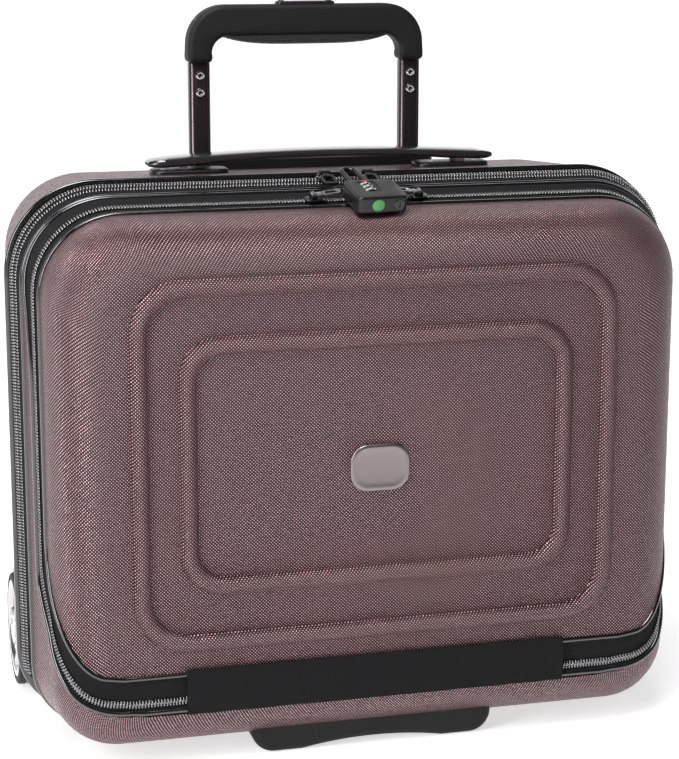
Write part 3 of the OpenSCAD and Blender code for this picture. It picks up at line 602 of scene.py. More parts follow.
def makeRearShell():
    rows, uvRows = [], []
    depths = [rearValues["rimY"] + (84 - rearValues["rimY"]) * i / 8 for i in range(9)]
    draft, less = caseSize["draft"], caseSize["draft"] - caseSize["topDraft"]
    stations = [(y, 1 + draft * (y + 17) / 101, 1.0, less * (y + 17) / 101) for y in depths]
    for i in range(1, rearValues["rows"] + 1):
        a = math.radians(90 * i / rearValues["rows"])
        inset = 25 - 24 * math.cos(a)
        stations.append((84 + 24 * math.sin(a), inset + draft, inset, less))
    first = [casePoint(c, 1, 1) for c in range(columnCount)]
    marks = lengths([(x, 0, z) for x, z, nx, nz in first], True)
    cell = shellValues["pitch"] * math.sqrt(2) * 2
    stretch = round(marks[-1] / cell) * cell / marks[-1]
    deep, last = 0.0, None
    for y, side, low, up in stations:
        row = [casePoint(c, side, low, up) for c in range(columnCount)]
        row = [(x, y, z) for x, z, nx, nz in row]
        top = row[20]
        deep += math.dist(top, last) if last else 0.0
        last = top
        rows.append(row)
        uvRows.append([(s * stretch, deep) for s in marks])
    points = [p for row in rows for p in row]
    faces = gridFaces(len(rows), columnCount, wrap=True)
    uvs = gridUvs(uvRows)
    back = tuple(range(len(points) - columnCount, len(points)))
    faces.append(back)
    uvs.append([(points[i][0], points[i][2]) for i in back])
    obj = thicken(makePiece("rearShell", points, faces, uvs, sharp=50), caseSize["wall"], 50)
    tools = []
    for side in (-1, 1):
        r = rearValues["wellRadius"]
        well = arc(r, range(0, 181, 5)) + [(-r, -80), (r, -80)]
        place = move(side * 165.7, 70, 37.5) @ turn(z=90 if side > 0 else -90) @ turn(x=90)
        tools.append(prism("well", well, 0, 90, place))
        tools.append(prism("post", roundRect(8, 16, 1), -10, 10, move(side * 92, 36, 347)))
    tools.append(prism("cup", roundRect(173.4, 32.6, 11.3), 0, 100, move(0, 80, 303)))
    return cut(obj, *tools, sharp=50)


finish(makeRearShell(), shellLook, "rear_case", "rear_shell", slot="shell")

middleSeam = (6, -8, -11)
panelSeam = (-12, 15.96, 14.4)


def topShare(z):
    # Nought at the sides and one across the top, where the middle shell is at its narrowest.
    t = min(1, max(0, (z - 230) / 90))
    return t * t * (3 - 2 * t)


def makeMiddleShell():
    rows, uvRows = 16, []
    first = [casePoint(c, 7.2, 1) for c in range(columnCount)]
    marks = lengths([(x, 0, z) for x, z, nx, nz in first], True)
    cell = shellValues["pitch"] * math.sqrt(2) * 2
    stretch = round(marks[-1] / cell) * cell / marks[-1]
    ends = [crossing(c, (middleSeam[0] + 9 * topShare(first[c][1]), middleSeam[1], middleSeam[2]))
            for c in range(columnCount)]
    points, grid = [], []
    for r in range(rows + 1):
        row = []
        for c in range(columnCount):
            end = 2.0 if ends[c] is None else ends[c]
            q = end * r / rows
            p, n = frontPoint(c, q)
            row.append(p)
        grid.append(row)
    deep = [0.0] * columnCount
    for r in range(rows + 1):
        if r:
            deep = [d + math.dist(grid[r][c], grid[r - 1][c]) for c, d in enumerate(deep)]
        uvRows.append([(marks[c] * stretch, deep[c % columnCount]) for c in range(columnCount + 1)])
    points = [p for row in grid for p in row]
    obj = makePiece("middleShell", points, gridFaces(rows + 1, columnCount, wrap=True), gridUvs(uvRows), sharp=60)
    face = obj.data.polygons[30]
    if face.normal.z < 0:
        obj.data.flip_normals()
    return thicken(obj, caseSize["wall"], 60)


finish(makeMiddleShell(), shellLook, "front_frame", "mid_shell", slot="shell")

ribValues = {"outerHalf": 150.6, "low": 74, "high": 300, "radius": 32, "innerSide": 28.6, "innerRise": 34.5,
             "innerRadius": 25, "width": 11, "height": 4.3, "seamRows": 14}


def ribLoop(side, rise, r, inset, y, count):
    loop = roundRect(2 * (ribValues["outerHalf"] - side - inset),
                     ribValues["high"] - ribValues["low"] - 2 * (rise + inset), max(r - inset * 0.8, 3), 10)
    middle = (ribValues["high"] + ribValues["low"]) / 2
    path = [((x, y, middle + z), (0, -1, 0)) for x, z in loop]
    return [p for p, n in resample(path, count)]


def makePanel():
    columns = upperColumns(panelSeam)
    rows = ribValues["seamRows"]
    points, faces, uvs = [], [], []
    wide = len(columns)
    for r in range(rows + 1):
        for c, q in columns:
            start = q + (2 - q) * r / rows
            p, n = frontPoint(c, start)
            points.append(p)
    flat = {}
    for i, (c, q) in enumerate(columns):
        x, z, nx, nz = casePoint(c, 45.7, 26)
        arc = 0.0
        flat[rows * wide + i] = (x, z)
        for r in range(rows - 1, -1, -1):
            arc += math.dist(points[r * wide + i], points[(r + 1) * wide + i])
            flat[r * wide + i] = (x + nx * arc, z + nz * arc)
    faces = gridFaces(rows + 1, wide)
    work = bmesh.new()
    layer = work.loops.layers.uv.new("weave")
    verts = [work.verts.new([x * mm for x in p]) for p in points]
    for face in faces:
        made = work.faces.new([verts[i] for i in face])
        for loop, i in zip(made.loops, face):
            loop[layer].uv = (flat[i][0] * mm, flat[i][1] * mm)
    # the flat face, its two ribs and its middle
    count = 240
    faceY, h, w = caseSize["frontY"], ribValues["height"], ribValues["width"]
    profile = [(-1.2, 0.0), (0, 0)]
    profile += [(w * 0.5 * (1 - math.cos(math.radians(18 * i))), h * math.sin(math.radians(18 * i)) ** 1.2)
                for i in range(1, 10)]
    profile += [(w, 0), (w + 1.2, 0.0)]
    loops = []
    for side, rise, radius in ((0, 0, ribValues["radius"]),
                               (ribValues["innerSide"], ribValues["innerRise"], ribValues["innerRadius"])):
        for inset, lift in profile:
            loops.append([work.verts.new([x * mm for x in p])
                          for p in ribLoop(side, rise, radius, inset, faceY - lift, count)])
    made = []
    for a, b in zip(loops, loops[1:]):
        for i in range(count):
            made.append(work.faces.new((a[i], a[(i + 1) % count], b[(i + 1) % count], b[i])))
    made.append(work.faces.new(loops[-1]))
    edge = verts[rows * wide:]
    rim = [work.edges.get((a, b)) for a, b in zip(edge, edge[1:])]
    bottom = [work.verts.new((edge[-1].co.x + (edge[0].co.x - edge[-1].co.x) * i / 40,
                              faceY * mm, edge[0].co.z)) for i in range(1, 40)]
    chain = [edge[-1]] + bottom + [edge[0]]
    rim += [work.edges.new((a, b)) for a, b in zip(chain, chain[1:])]
    rim += [work.edges.get((loops[0][i], loops[0][(i + 1) % count])) for i in range(count)]
    filled = bmesh.ops.triangle_fill(work, edges=rim, use_beauty=True, normal=(0, -1, 0))
    made += [g for g in filled["geom"] if isinstance(g, bmesh.types.BMFace)]
    for face in made:
        for loop in face.loops:
            loop[layer].uv = (loop.vert.co.x, loop.vert.co.z)
    mesh = bpy.data.meshes.new("frontPanel")
    work.to_mesh(mesh)
    work.free()
    obj = bpy.data.objects.new("frontPanel", mesh)
    bpy.context.scene.collection.objects.link(obj)
    tidyMesh(mesh, 70)
    if mesh.polygons[30].normal.y > 0:
        mesh.flip_normals()
    return thicken(obj, caseSize["wall"], 70)


finish(makePanel(), shellLook, "front_panel", "panel_shell", slot="shell")

print("stage: piping and zippers")
pipingValues = {"width": 3.4, "height": 1.9, "under": 2.2}


def beadProfile(width, height, under):
    return arc(width / 2, range(0, 181, 20), height) + [(-width / 2, -under), (width / 2, -under)]


bead = beadProfile(pipingValues["width"], pipingValues["height"], pipingValues["under"])
finish(sweep("rearPiping", ringPath(-18.8, 1.4, 1.4), bead), pipingLook, "rear_case", "rear_piping", slot="piping")


def narrowing(low, high, g):
    # Goes from the seam's own edge at the sides to the rim's piping across the top.
    blended = []
    for (p, n), (q, m) in zip(seamPath(low, g), seamPath(high, g)):
        t = topShare(p[2])
        blended.append((tuple(a + (b - a) * t for a, b in zip(p, q)), tuple(a + (b - a) * t for a, b in zip(n, m))))
    return blended


mainRim = sweep("middlePipingRim", ringPath(-44.3, 7.6, 1.4), bead)
seamRim = sweep("middlePipingSeam", narrowing((4.9, -6.9, -9.4), (14.3, -6.9, -9.4), 0.6), bead)
finish(join("middlePiping", mainRim, seamRim), pipingLook, "front_frame", "mid_piping", slot="piping")
finish(sweep("panelPiping", seamPath((-10.6, 14.1, 12.8), 0.6), bead), pipingLook, "front_panel",
       "panel_piping", slot="piping")

zipValues = {"tape": 0.9, "toothPitch": 1.9, "toothLength": 2.9, "toothRadius": 0.63}


def tapeBetween(name, start, end, closed=True, bulge=0.0):
    return ribbon(name, start, end, zipValues["tape"], closed, bulge=bulge)


finish(tapeBetween("mainTapeRear", ringPath(-34.2, 3.5, 2.6, over=40), ringPath(-19.5, 3.2, 2.6, over=40), False),
       tapeLook, "rear_case", "main_zip_rear", slot="tape")
finish(tapeBetween("mainTapeFront", ringPath(-44, 8.4, 2.6, over=40), ringPath(-33.9, 3.7, 2.6, over=40), False),
       tapeLook, "front_frame", "main_zip_front", slot="tape")
finish(tapeBetween("pocketTapeFrame", narrowing((4.6, -6.5, -9.0), (14, -6.5, -9.0), -0.1),
                   seamPath((2.6, -3.2, -4.2), 1.2)),
       tapeLook, "front_frame", "pocket_zip_frame", slot="tape")
finish(tapeBetween("pocketTapePanel", seamPath((2.2, -2.8, -3.8), 1.7), seamPath((-10.4, 13.8, 12.5), 1.7)),
       tapeLook, "front_panel", "pocket_zip_panel", slot="tape")


def toothTree():
    # Sets one tooth across the line at every step of its length.
    tree = bpy.data.node_groups.new("teethAlongLine", "GeometryNodeTree")
    face = tree.interface
    face.new_socket("Geometry", in_out="INPUT", socket_type="NodeSocketGeometry")
    for key in ("Pitch", "Length", "Radius", "Shift"):
        face.new_socket(key, in_out="INPUT", socket_type="NodeSocketFloat")
    face.new_socket("Material", in_out="INPUT", socket_type="NodeSocketMaterial")
    face.new_socket("Geometry", in_out="OUTPUT", socket_type="NodeSocketGeometry")
    nodes, link = tree.nodes, tree.links.new

    def add(kind, settings={}, **sockets):
        node = nodes.new(kind)
        for key, value in settings.items():
            setattr(node, key, value)
        for key, value in sockets.items():
            node.inputs[key.replace("_", " ")].default_value = value
        return node

    start, end = add("NodeGroupInput"), add("NodeGroupOutput")
    line = add("GeometryNodeMeshToCurve")
    link(start.outputs["Geometry"], line.inputs["Mesh"])
    even = add("GeometryNodeResampleCurve", {"mode": "LENGTH"})
    link(line.outputs[0], even.inputs["Curve"])
    link(start.outputs["Pitch"], even.inputs["Length"])
    up = add("GeometryNodeInputNamedAttribute", {"data_type": "FLOAT_VECTOR"}, Name="up")
    along = add("GeometryNodeInputTangent")
    first = add("FunctionNodeAlignRotationToVector", {"axis": "Z"})
    link(up.outputs[0], first.inputs["Vector"])
    second = add("FunctionNodeAlignRotationToVector", {"axis": "X", "pivot_axis": "Z"})
    link(first.outputs[0], second.inputs["Rotation"])
    link(along.outputs[0], second.inputs["Vector"])
    tooth = add("GeometryNodeMeshCylinder", {"fill_type": "NGON"}, Vertices=8)
    link(start.outputs["Radius"], tooth.inputs["Radius"])
    link(start.outputs["Length"], tooth.inputs["Depth"])
    lay = add("GeometryNodeTransform", Rotation=(math.radians(90), 0, 0))
    link(tooth.outputs["Mesh"], lay.inputs["Geometry"])
    offset = add("ShaderNodeCombineXYZ")
    link(start.outputs["Shift"], offset.inputs["X"])
    link(offset.outputs[0], lay.inputs["Translation"])
    head = add("GeometryNodeMeshIcoSphere", Subdivisions=1)
    bigger = add("ShaderNodeMath", {"operation": "MULTIPLY"})
    bigger.inputs[1].default_value = 1.35
    link(start.outputs["Radius"], bigger.inputs[0])
    link(bigger.outputs[0], head.inputs["Radius"])
    reach = add("ShaderNodeMath", {"operation": "MULTIPLY"})
    reach.inputs[1].default_value = 0.42
    link(start.outputs["Length"], reach.inputs[0])
    headAt = add("ShaderNodeCombineXYZ")
    link(start.outputs["Shift"], headAt.inputs["X"])
    link(reach.outputs[0], headAt.inputs["Y"])
    headMove = add("GeometryNodeTransform")
    link(head.outputs["Mesh"], headMove.inputs["Geometry"])
    link(headAt.outputs[0], headMove.inputs["Translation"])
    both = add("GeometryNodeJoinGeometry")
    link(lay.outputs[0], both.inputs[0])
    link(headMove.outputs[0], both.inputs[0])
    put = add("GeometryNodeInstanceOnPoints")
    link(even.outputs[0], put.inputs["Points"])
    link(both.outputs[0], put.inputs["Instance"])
    link(second.outputs[0], put.inputs["Rotation"])
    real = add("GeometryNodeRealizeInstances")
    link(put.outputs[0], real.inputs[0])
    smooth = add("GeometryNodeSetShadeSmooth")
    link(real.outputs[0], smooth.inputs[0])
    paint = add("GeometryNodeSetMaterial")
    link(smooth.outputs[0], paint.inputs["Geometry"])
    link(start.outputs["Material"], paint.inputs["Material"])
    link(paint.outputs[0], end.inputs[0])
    return tree


teethTree = toothTree()


def makeTeeth(name, path, closed, shift, body, *nodes):
    mesh = bpy.data.meshes.new(name)
    count = len(path)
    edges = [(i, i + 1) for i in range(count - 1)] + ([(count - 1, 0)] if closed else [])
    mesh.from_pydata([[c * mm for c in p] for p, n in path], edges, [])
    layer = mesh.attributes.new("up", "FLOAT_VECTOR", "POINT")
    for i, (p, n) in enumerate(path):
        layer.data[i].vector = n
    obj = bpy.data.objects.new(name, mesh)
    bpy.context.scene.collection.objects.link(obj)
    change = obj.modifiers.new("teeth", "NODES")
    change.node_group = teethTree
    sockets = {s.name: s.identifier for s in teethTree.interface.items_tree if s.in_out == "INPUT"}
    given = {"Pitch": zipValues["toothPitch"] * mm, "Length": zipValues["toothLength"] * mm,
             "Radius": zipValues["toothRadius"] * mm, "Shift": shift * mm, "Material": toothLook.mat}
    for key, value in given.items():
        change[sockets[key]] = value
    graph = bpy.context.evaluated_depsgraph_get()
    made = bpy.data.meshes.new_from_object(obj.evaluated_get(graph), depsgraph=graph)
    obj.modifiers.clear()
    obj.data = made
    return finish(obj, toothLook, body, *nodes, slot="slider_metal")


half = zipValues["toothPitch"] / 2


def tipped(path, lean):
    # Turns the line's own upward direction towards the front.
    return [(p, tuple(Vector((n[0], n[1] - lean, n[2])).normalized())) for p, n in path]


makeTeeth("mainTeethRear", tipped(ringPath(-32.4, 2.6, 2.4, over=42), 0.5)[::-1], False, 0, "rear_case")
makeTeeth("mainTeethFront", tipped(ringPath(-35.2, 4.2, 2.4, over=42), 0.5), False, half, "front_frame")
makeTeeth("pocketTeethFrame", seamPath((3.5, -4.2, -5.2), 0.9), True, 0, "front_frame")
makeTeeth("pocketTeethPanel", seamPath((1.3, -1.8, -2.8), 0.9)[::-1], True, half, "front_panel")

print("stage: hinges, badge and foot")
strapValues = {"half": 119.5, "y": -107.2, "low": 35, "high": 63, "thick": 0.9, "bulge": 0.5, "rows": 20,
               "fold": ((0, -0.107, 0.0415), (0, -0.107, 0.0495))}
stripValues = {"half": 147, "z": 13.2, "front": -46, "back": -21, "thick": 1.1, "bulge": 0, "rows": 24,
               "fold": ((0, -0.0375, 0.013), (0, -0.0265, 0.013))}


def levelPath(half, y, z, normal, count=80):
    return [((-half + 2 * half * i / (count - 1), y, z), normal) for i in range(count)]


def makeHinge(name, values, edges, normal, node):
    a, b = (levelPath(values["half"], y, z, normal) for y, z in edges)
    obj = ribbon(name, a, b, values["thick"], False, across=values["rows"], bulge=values["bulge"])
    obj.data.materials.append(strapLook.mat)
    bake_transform(obj)
    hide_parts(node)


makeHinge("hingeStrap", strapValues, [(strapValues["y"], strapValues[k]) for k in ("low", "high")], (0, -1, 0),
          "front_hinge_strap")
makeHinge("openingStrip", stripValues, [(stripValues[k], stripValues["z"]) for k in ("front", "back")], (0, 0, -1),
          "main_hinge_strip")

badgeValues = {"width": 37, "height": 29, "radius": 11, "z": 180.5,
               "edge": ((0, 0), (0, 1.1), (0.25, 1.6), (0.9, 2.0), (2.2, 2.1), (3.2, 1.9), (6, 1.65))}


def makeBadge():
    rings = []
    for inset, lift in badgeValues["edge"]:             # how far in from the rim, and out from the panel
        loop = roundRect(badgeValues["width"] - 2 * inset, badgeValues["height"] - 2 * inset,
                         badgeValues["radius"] - inset * 0.8, 10)
        rings.append([(x, caseSize["frontY"] - lift, badgeValues["z"] + z) for x, z in loop])
    return loft("badgePlate", rings, sharp=60)


finish(makeBadge(), badgeLook, "front_panel", "badge", slot="badge_metal")

footValues = {"half": 77, "frontY": -96, "backY": -48, "round": 14}


def makeFoot():
    w, r = footValues["half"], footValues["round"]
    lower = []
    for i in range(0, 11):
        a = math.radians(180 + 9 * i)
        lower.append((-w + r + r * math.cos(a), r + r * math.sin(a)))
    arch = [(x, 4 * (1 - (x / 45) ** 2)) for x in range(-45, 46, 5)]
    right = [(-x, z) for x, z in reversed(lower)]
    loop = lower + arch + right + [(w, 24), (-w, 24)]
    obj = prism("frontFoot", loop, 0, footValues["backY"] - footValues["frontY"],
                move(0, footValues["backY"], 0) @ turn(x=90))
    bevel(obj, 5, 5, 50)
    rings = [[frontPoint(c, q, 0.05)[0] for c in range(columnCount)] for q in
             [0, 0.5, 1] + [1 + i / 10 for i in range(1, 11)]]
    return cut(obj, loft("frontSolid", rings, sharp=60), sharp=45)


finish(makeFoot(), mattLook, "front_frame", "front_foot", slot="rubber")

print("stage: wheels")
wheelValues = {"radius": 37.5, "width": 23, "rim": 33, "spokes": 5, "innerX": 182, "y": 70}


def wheelPlace(side):
    return move(side * wheelValues["innerX"], wheelValues["y"], wheelValues["radius"]) @ turn(y=90 * side)


def makeTyre(side):
    r, w, rim = wheelValues["radius"], wheelValues["width"], wheelValues["rim"]
    outer = [(rim, 0.4), (r - 2.2, 0.4), (r - 0.9, 0.9), (r - 0.2, 2.2)]
    for groove in (6.5, 11.5, 16.5):
        outer += [(r, groove - 0.9), (r - 0.9, groove - 0.5), (r - 0.9, groove + 0.5), (r, groove + 0.9)]
    outer += [(r - 0.2, w - 2.2), (r - 0.9, w - 0.9), (r - 2.2, w - 0.4), (rim, w - 0.4)]
    return lathe("tyre", outer, wheelPlace(side), 96, 40)


def makeHubDish(side):
    rim = wheelValues["rim"]
    profile = [(4.2, 0.5), (rim - 0.2, 0.5), (rim - 0.2, 21.8), (rim - 2.4, 21.8), (rim - 4.5, 18), (rim - 6, 10),
               (8.5, 8), (8, 15), (4.2, 15)]
    return lathe("hubDish", profile, wheelPlace(side), 96, 35)


def makeHubFace(side):
    # Bright rim, spokes that widen into it, and a domed cap.
    rim, parts = wheelValues["rim"], []
    place = wheelPlace(side)
    ring = [(rim - 5.2, 19.2), (rim - 4.8, 21.0), (rim - 3.4, 22.3), (rim - 1.2, 22.5), (rim - 0.2, 21.9),
            (rim - 0.2, 19)]
    parts.append(lathe("ring", ring, place, 96, 30))
    dome = [(0.01, 14), (9.2, 14), (9.6, 20.6), (8.6, 21.6), (6.4, 21.9), (5.9, 21.2), (5.0, 21.2), (4.6, 21.9),
            (2.4, 22.3), (0.01, 22.4)]
    parts.append(lathe("cap", dome, place, 64, 30))
    for i in range(wheelValues["spokes"]):
        spoke = place @ turn(z=90 + 360 * i / wheelValues["spokes"])
        rings = []
        for r, half, top in ((7.5, 4.2, 21.3), (13, 3.0, 20.6), (20, 2.9, 20.4), (25, 4.2, 20.8), (29.5, 7.2, 21.2)):
            rings.append([tuple(spoke @ Vector((r, a, b))) for a, b in
                          ((-half, 14), (-half, top - 1.6), (-half + 1.3, top - 0.2), (0, top + 0.4),
                           (half - 1.3, top - 0.2), (half, top - 1.6), (half, 14))])
        parts.append(loft("spoke", rings, sharp=35))
    return join("hubFace", *parts)


for side, name in ((-1, "left"), (1, "right")):
    for part, look, node, slot in ((makeTyre(side), tyreLook, "tyre_", "tyre"),
                                   (makeHubDish(side), blackLook, "hub_", "chrome"),
                                   (makeHubFace(side), hubLook, None, "chrome")):
        part.name = part.name + name.capitalize()
        finish(part, look, "wheel_" + name, *([node + name] if node else []), slot=slot)

print("stage: carry handle")
handleValues = {"half": 114, "y": 36, "width": 24, "low": 352.5, "thick": 5, "bow": 4, "tip": 15,
                "baseX": 87, "base": (50, 22, 8), "baseLow": 341, "baseThick": 5.4}


def makeHandle():
    half, rings = handleValues["half"], []
    xs = [-half + i * 0.8 for i in range(20)]
    xs += [xs[-1] + (-2 * xs[-1]) * i / 60 for i in range(1, 60)] + [-x for x in reversed(xs)]
    for x in xs:
        t = abs(x) / half
        end = max(0.0, (abs(x) - half + handleValues["tip"]) / handleValues["tip"])
        w = handleValues["width"] / 2 * (1 - 0.42 * end ** 2.2)
        top = handleValues["low"] + handleValues["thick"] - handleValues["bow"] * t * t - 1.6 * end ** 3
        low = handleValues["low"] - (handleValues["bow"] - 0.4) * t * t
        low -= 1.3 * min(1, max(0, (abs(x) - 52) / 30)) * (1 - end ** 4)
        crown = 0.9 * (1 - end ** 2)
        section = [(-w + 0.2, low + 1.5), (-w, low + 1.9), (-w, top - 2.3), (-w + 0.35, top - 1.5),
                   (-w + 1.6, top - 0.7 * crown), (-w * 0.55, top - 0.12), (0, top), (w * 0.55, top - 0.12),
                   (w - 1.6, top - 0.7 * crown), (w - 0.35, top - 1.5), (w, top - 2.3), (w, low + 1.9),
                   (w - 0.2, low + 1.5), (w - 1.9, low + 0.2), (w - 3, low), (-w + 3, low), (-w + 1.9, low + 0.2)]
        rings.append([(x, handleValues["y"] + a, b) for a, b in section])
    return loft("carryHandle", rings, sharp=28)


finish(makeHandle(), handleLook, "carry_handle_body", "carry_handle", slot="black_plastic")
for side, name in ((-1, "left"), (1, "right")):
    place = move(side * handleValues["baseX"], handleValues["y"], handleValues["baseLow"])
    base = bevel(prism("handleBase" + name.capitalize(), roundRect(*handleValues["base"], 8), 0,
                       handleValues["baseThick"], place), 1.2, 4)
    finish(base, blackLook, "rear_case", "handle_base_" + name, slot="black_plastic")

print("stage: trolley")
trolleyValues = {"x": 71.2, "y": 80, "gripLow": 410, "gripHigh": 447, "gripHalf": 79, "leg": 15.6, "bar": 20,
                 "gripDepth": 18, "outerRadius": 25, "innerRadius": 11, "rivetsZ": (402, 390.8)}


# width, depth, corner radius, foot and top of each tube
tubeValues = {"top": (14, 10, 3.4, 124, 410), "middle": (16.7, 12.7, 4, 24, 303.5),
              "outer": (19.4, 15.4, 4, 22, 304), "wall": 1.1, "slotWidth": 6.6, "slotLow": 287.5}


def makeTube(kind, side, sideName):
    w, d, r, z0, z1 = tubeValues[kind]
    wall = tubeValues["wall"]
    place = move(side * trolleyValues["x"], trolleyValues["y"], 0)

    def loop(inset, z):
        return [tuple(place @ Vector((x, y, z))) for x, y in roundRect(w - 2 * inset, d - 2 * inset, r - inset, 8)]
    rings = [loop(0.25, z0), loop(0, z0 + 0.3), loop(0, z1 - 0.3), loop(0.25, z1), loop(wall, z1), loop(wall, z0)]
    obj = loft(kind + "Tube" + sideName.capitalize(), rings, close=True, sharp=40)
    if kind == "middle":
        # room for the rivets' heads
        cut(obj, prism("slots", roundRect(tubeValues["slotWidth"], 40, 0.3), tubeValues["slotLow"], 320, place),
            sharp=40)
    return obj


for side, name in ((-1, "left"), (1, "right")):
    for kind, look, body in (("top", tubeLook, "trolley_top"), ("middle", tubeLook, "trolley_middle"),
                             ("outer", steelLook, "rear_case")):
        finish(makeTube(kind, side, name), look, body, f"{kind}_tube_{name}", slot="tube")


def gripOutline():
    v = trolleyValues
    half, leg, low, high = v["gripHalf"], v["leg"], v["gripLow"], v["gripHigh"]
    outer, inner = [], []
    for i in range(13):
        a = math.radians(90 * i / 12)
        outer.append((half - v["outerRadius"] * (1 - math.cos(a)), high - v["outerRadius"] * (1 - math.sin(a))))
        inner.append((half - leg - v["innerRadius"] * (1 - math.cos(a)),
                      high - v["bar"] - v["innerRadius"] * (1 - math.sin(a))))
    right = [(half + 0.5, low), (half + 0.4, low + 5)] + outer
    left = [(-x, z) for x, z in reversed(right)]
    under = [(-x, z) for x, z in [(half - leg - 0.4, low), (half - leg - 0.3, low + 5)] + inner]
    return right + left + under + [(-x, z) for x, z in reversed(under)]


def makeGrip():
    v = trolleyValues
    deep = v["gripDepth"] / 2
    obj = prism("trolleyGrip", gripOutline(), -deep, deep, move(0, v["y"], 0) @ turn(x=90))
    bevel(obj, 3.6, 5, 45, 40)
    slotTool = prism("slot", roundRect(40.4, 11.2, 3.2), 0, 20, move(0, v["y"], v["gripHigh"] - 5))
    return cut(obj, slotTool, sharp=40)


finish(makeGrip(), mattLook, "trolley_top", "trolley_grip", slot="black_plastic")


padValues = {"half": 56, "halfWidth": 7.4, "deep": 5.1, "knurl": 2.0}


def makePad():
    v, rings = trolleyValues, []
    half, z = padValues["half"], v["gripHigh"] - v["bar"]
    for i in range(61):
        t = -1 + i / 30
        x, deep = t * half, 0.5 + padValues["deep"] * (1 - t ** 4)
        w = padValues["halfWidth"] * (1 - 0.35 * abs(t) ** 6)
        section = [(w, 0.6), (w, -deep * 0.45), (w - 1.2, -deep * 0.8), (w - 3, -deep), (0, -deep * 1.02),
                   (3 - w, -deep), (1.2 - w, -deep * 0.8), (-w, -deep * 0.45), (-w, 0.6)]
        rings.append([(x, v["y"] + a, z + b) for a, b in section])
    return loft("gripPad", rings, sharp=60)


def knurlLook():
    look = Look("knurledRubber", (0.012, 0.012, 0.012), 0.5)
    x, y, z = look.split(look.vector())
    p = padValues["knurl"] * mm
    a, b = ((x + y + z) / p).fract(), ((x - y - z) / p).fract()
    height = 1 - (a - 0.5).abs().max((b - 0.5).abs()) * 2
    look.bump(height, 0.5 * mm)
    # the knurl's peaks are painted lighter and its grooves darker: painted highlight and painted shade on the relief
    look.set("Base Color", look.mix(height, (0.004, 0.004, 0.004), (0.05, 0.048, 0.05)))
    return look


finish(makePad(), knurlLook(), "trolley_top", "grip_pad", slot="rubber")


buttonValues = {"top": (39, 10, 2.8), "high": 14.6, "out": 2, "bump": (3.2, 7, 1.4), "bumpX": 16}


def makeButton():
    v, b = trolleyValues, buttonValues
    body = prism("button", roundRect(*b["top"], 8), 0, b["high"],
                 move(0, v["y"], v["gripHigh"] + b["out"] - b["high"]))
    bevel(body, 1.0, 4)
    bumps = [bevel(prism("bump", roundRect(*b["bump"], 6), 0, 1.4, move(x, v["y"], v["gripHigh"] + 1.3)), 0.5, 3)
             for x in (-b["bumpX"], b["bumpX"])]
    return join("releaseButton", body, *bumps)


finish(makeButton(), blackLook, "trolley_release", "trolley_button", slot="black_plastic")


def makeRivets():
    parts = []
    profile = [(0.9, -1), (2.9, -1), (3.0, 0.25), (2.7, 0.75), (2.1, 0.95), (1.5, 0.85), (1.2, 0.4), (0.9, 0.1)]
    for side in (-1, 1):
        for z in trolleyValues["rivetsZ"]:
            for face in (-1, 1):
                place = move(side * trolleyValues["x"], trolleyValues["y"] + face * 5, z) @ turn(x=-90 * face)
                parts.append(lathe("rivet", profile, place, 32, 30))
    return join("gripRivets", *parts)


finish(makeRivets(), chromeLook, "trolley_top", "grip_rivets", slot="chrome")


cupValues = {"inside": (166.8, 26, 8), "wall": 3, "low": 304, "rim": 348, "hole": (17.3, 13.3, 4)}


def makeCup():
    place = move(0, trolleyValues["y"], 0)
    (w, d, r), wall, low, rim = (cupValues[k] for k in ("inside", "wall", "low", "rim"))

    def loop(grow, z):
        return [tuple(place @ Vector((x, y, z))) for x, y in roundRect(w + 2 * grow, d + 2 * grow, r + grow, 8)]
    rings = [loop(wall, low), loop(wall, rim - 1), loop(wall - 0.3, rim - 0.3), loop(wall - 1, rim), loop(0.9, rim),
             loop(0.2, rim - 0.4), loop(0, rim - 1.2), loop(0, low + wall)]
    obj = loft("trolleyCup", rings, sharp=40)
    holes = [prism("hole", roundRect(*cupValues["hole"]), low - 4, low + 6,
                   move(side * trolleyValues["x"], trolleyValues["y"], 0))
             for side in (-1, 1)]
    return cut(obj, *holes, sharp=40)


finish(makeCup(), blackLook, "rear_case", "trolley_cup", slot="black_plastic")

print("stage: sliders and pulls")
sliderValues = {"plate": (11, 7.6), "thick": 1.6, "pinHeight": 5.15, "dome": 3.9, "mainX": 13.5, "pocketX": 33,
                "mainPull": (9, 19), "pocketPull": (6.4, 17)}


def makeSlider(name, place, turned, dome):
    w, d = sliderValues["plate"]
    parts = [bevel(prism("plate", roundRect(w, d, 3, 8), 1.5, 1.5 + sliderValues["thick"], place), 0.5, 3),
             bevel(prism("under", roundRect(w - 3, 4, 1.5), *((-5.2, -4.4) if dome else (-2.6, -1.9)), place),
                   0.2, 2),
             prism("post", roundRect(4, 0.5, 0.2), -4.6 if dome else -2, 1.6, place)]
    local = place @ move(0, 0, sliderValues["pinHeight"]) @ turn(z=turned)
    for side in (-1, 1):
        ear = [(-2.3, -1.6)] + arc(1.9, range(-90, 91, 15)) + [(-2.3, 1.6)]
        # local X of the outline points up
        parts.append(bevel(prism("ear", ear, -0.5, 0.5, local @ move(side * 3, 0, 0) @ turn(y=-90)), 0.25, 2))
    parts.append(prism("pin", roundRect(1.6, 1.6, 0.79, 6), -3.6, 3.6, local @ turn(y=90)))
    if dome:
        r = sliderValues["dome"]
        profile = [(0.01, 2), (r, 2)] + [(x, 2.6 + z) for x, z in arc(r, range(0, 90, 15), 2.2)] + [(0.01, 4.8)]
        parts.append(lathe("dome", profile, place @ move(0, 5.6, 0), 40, 40))
    return join(name, *parts)


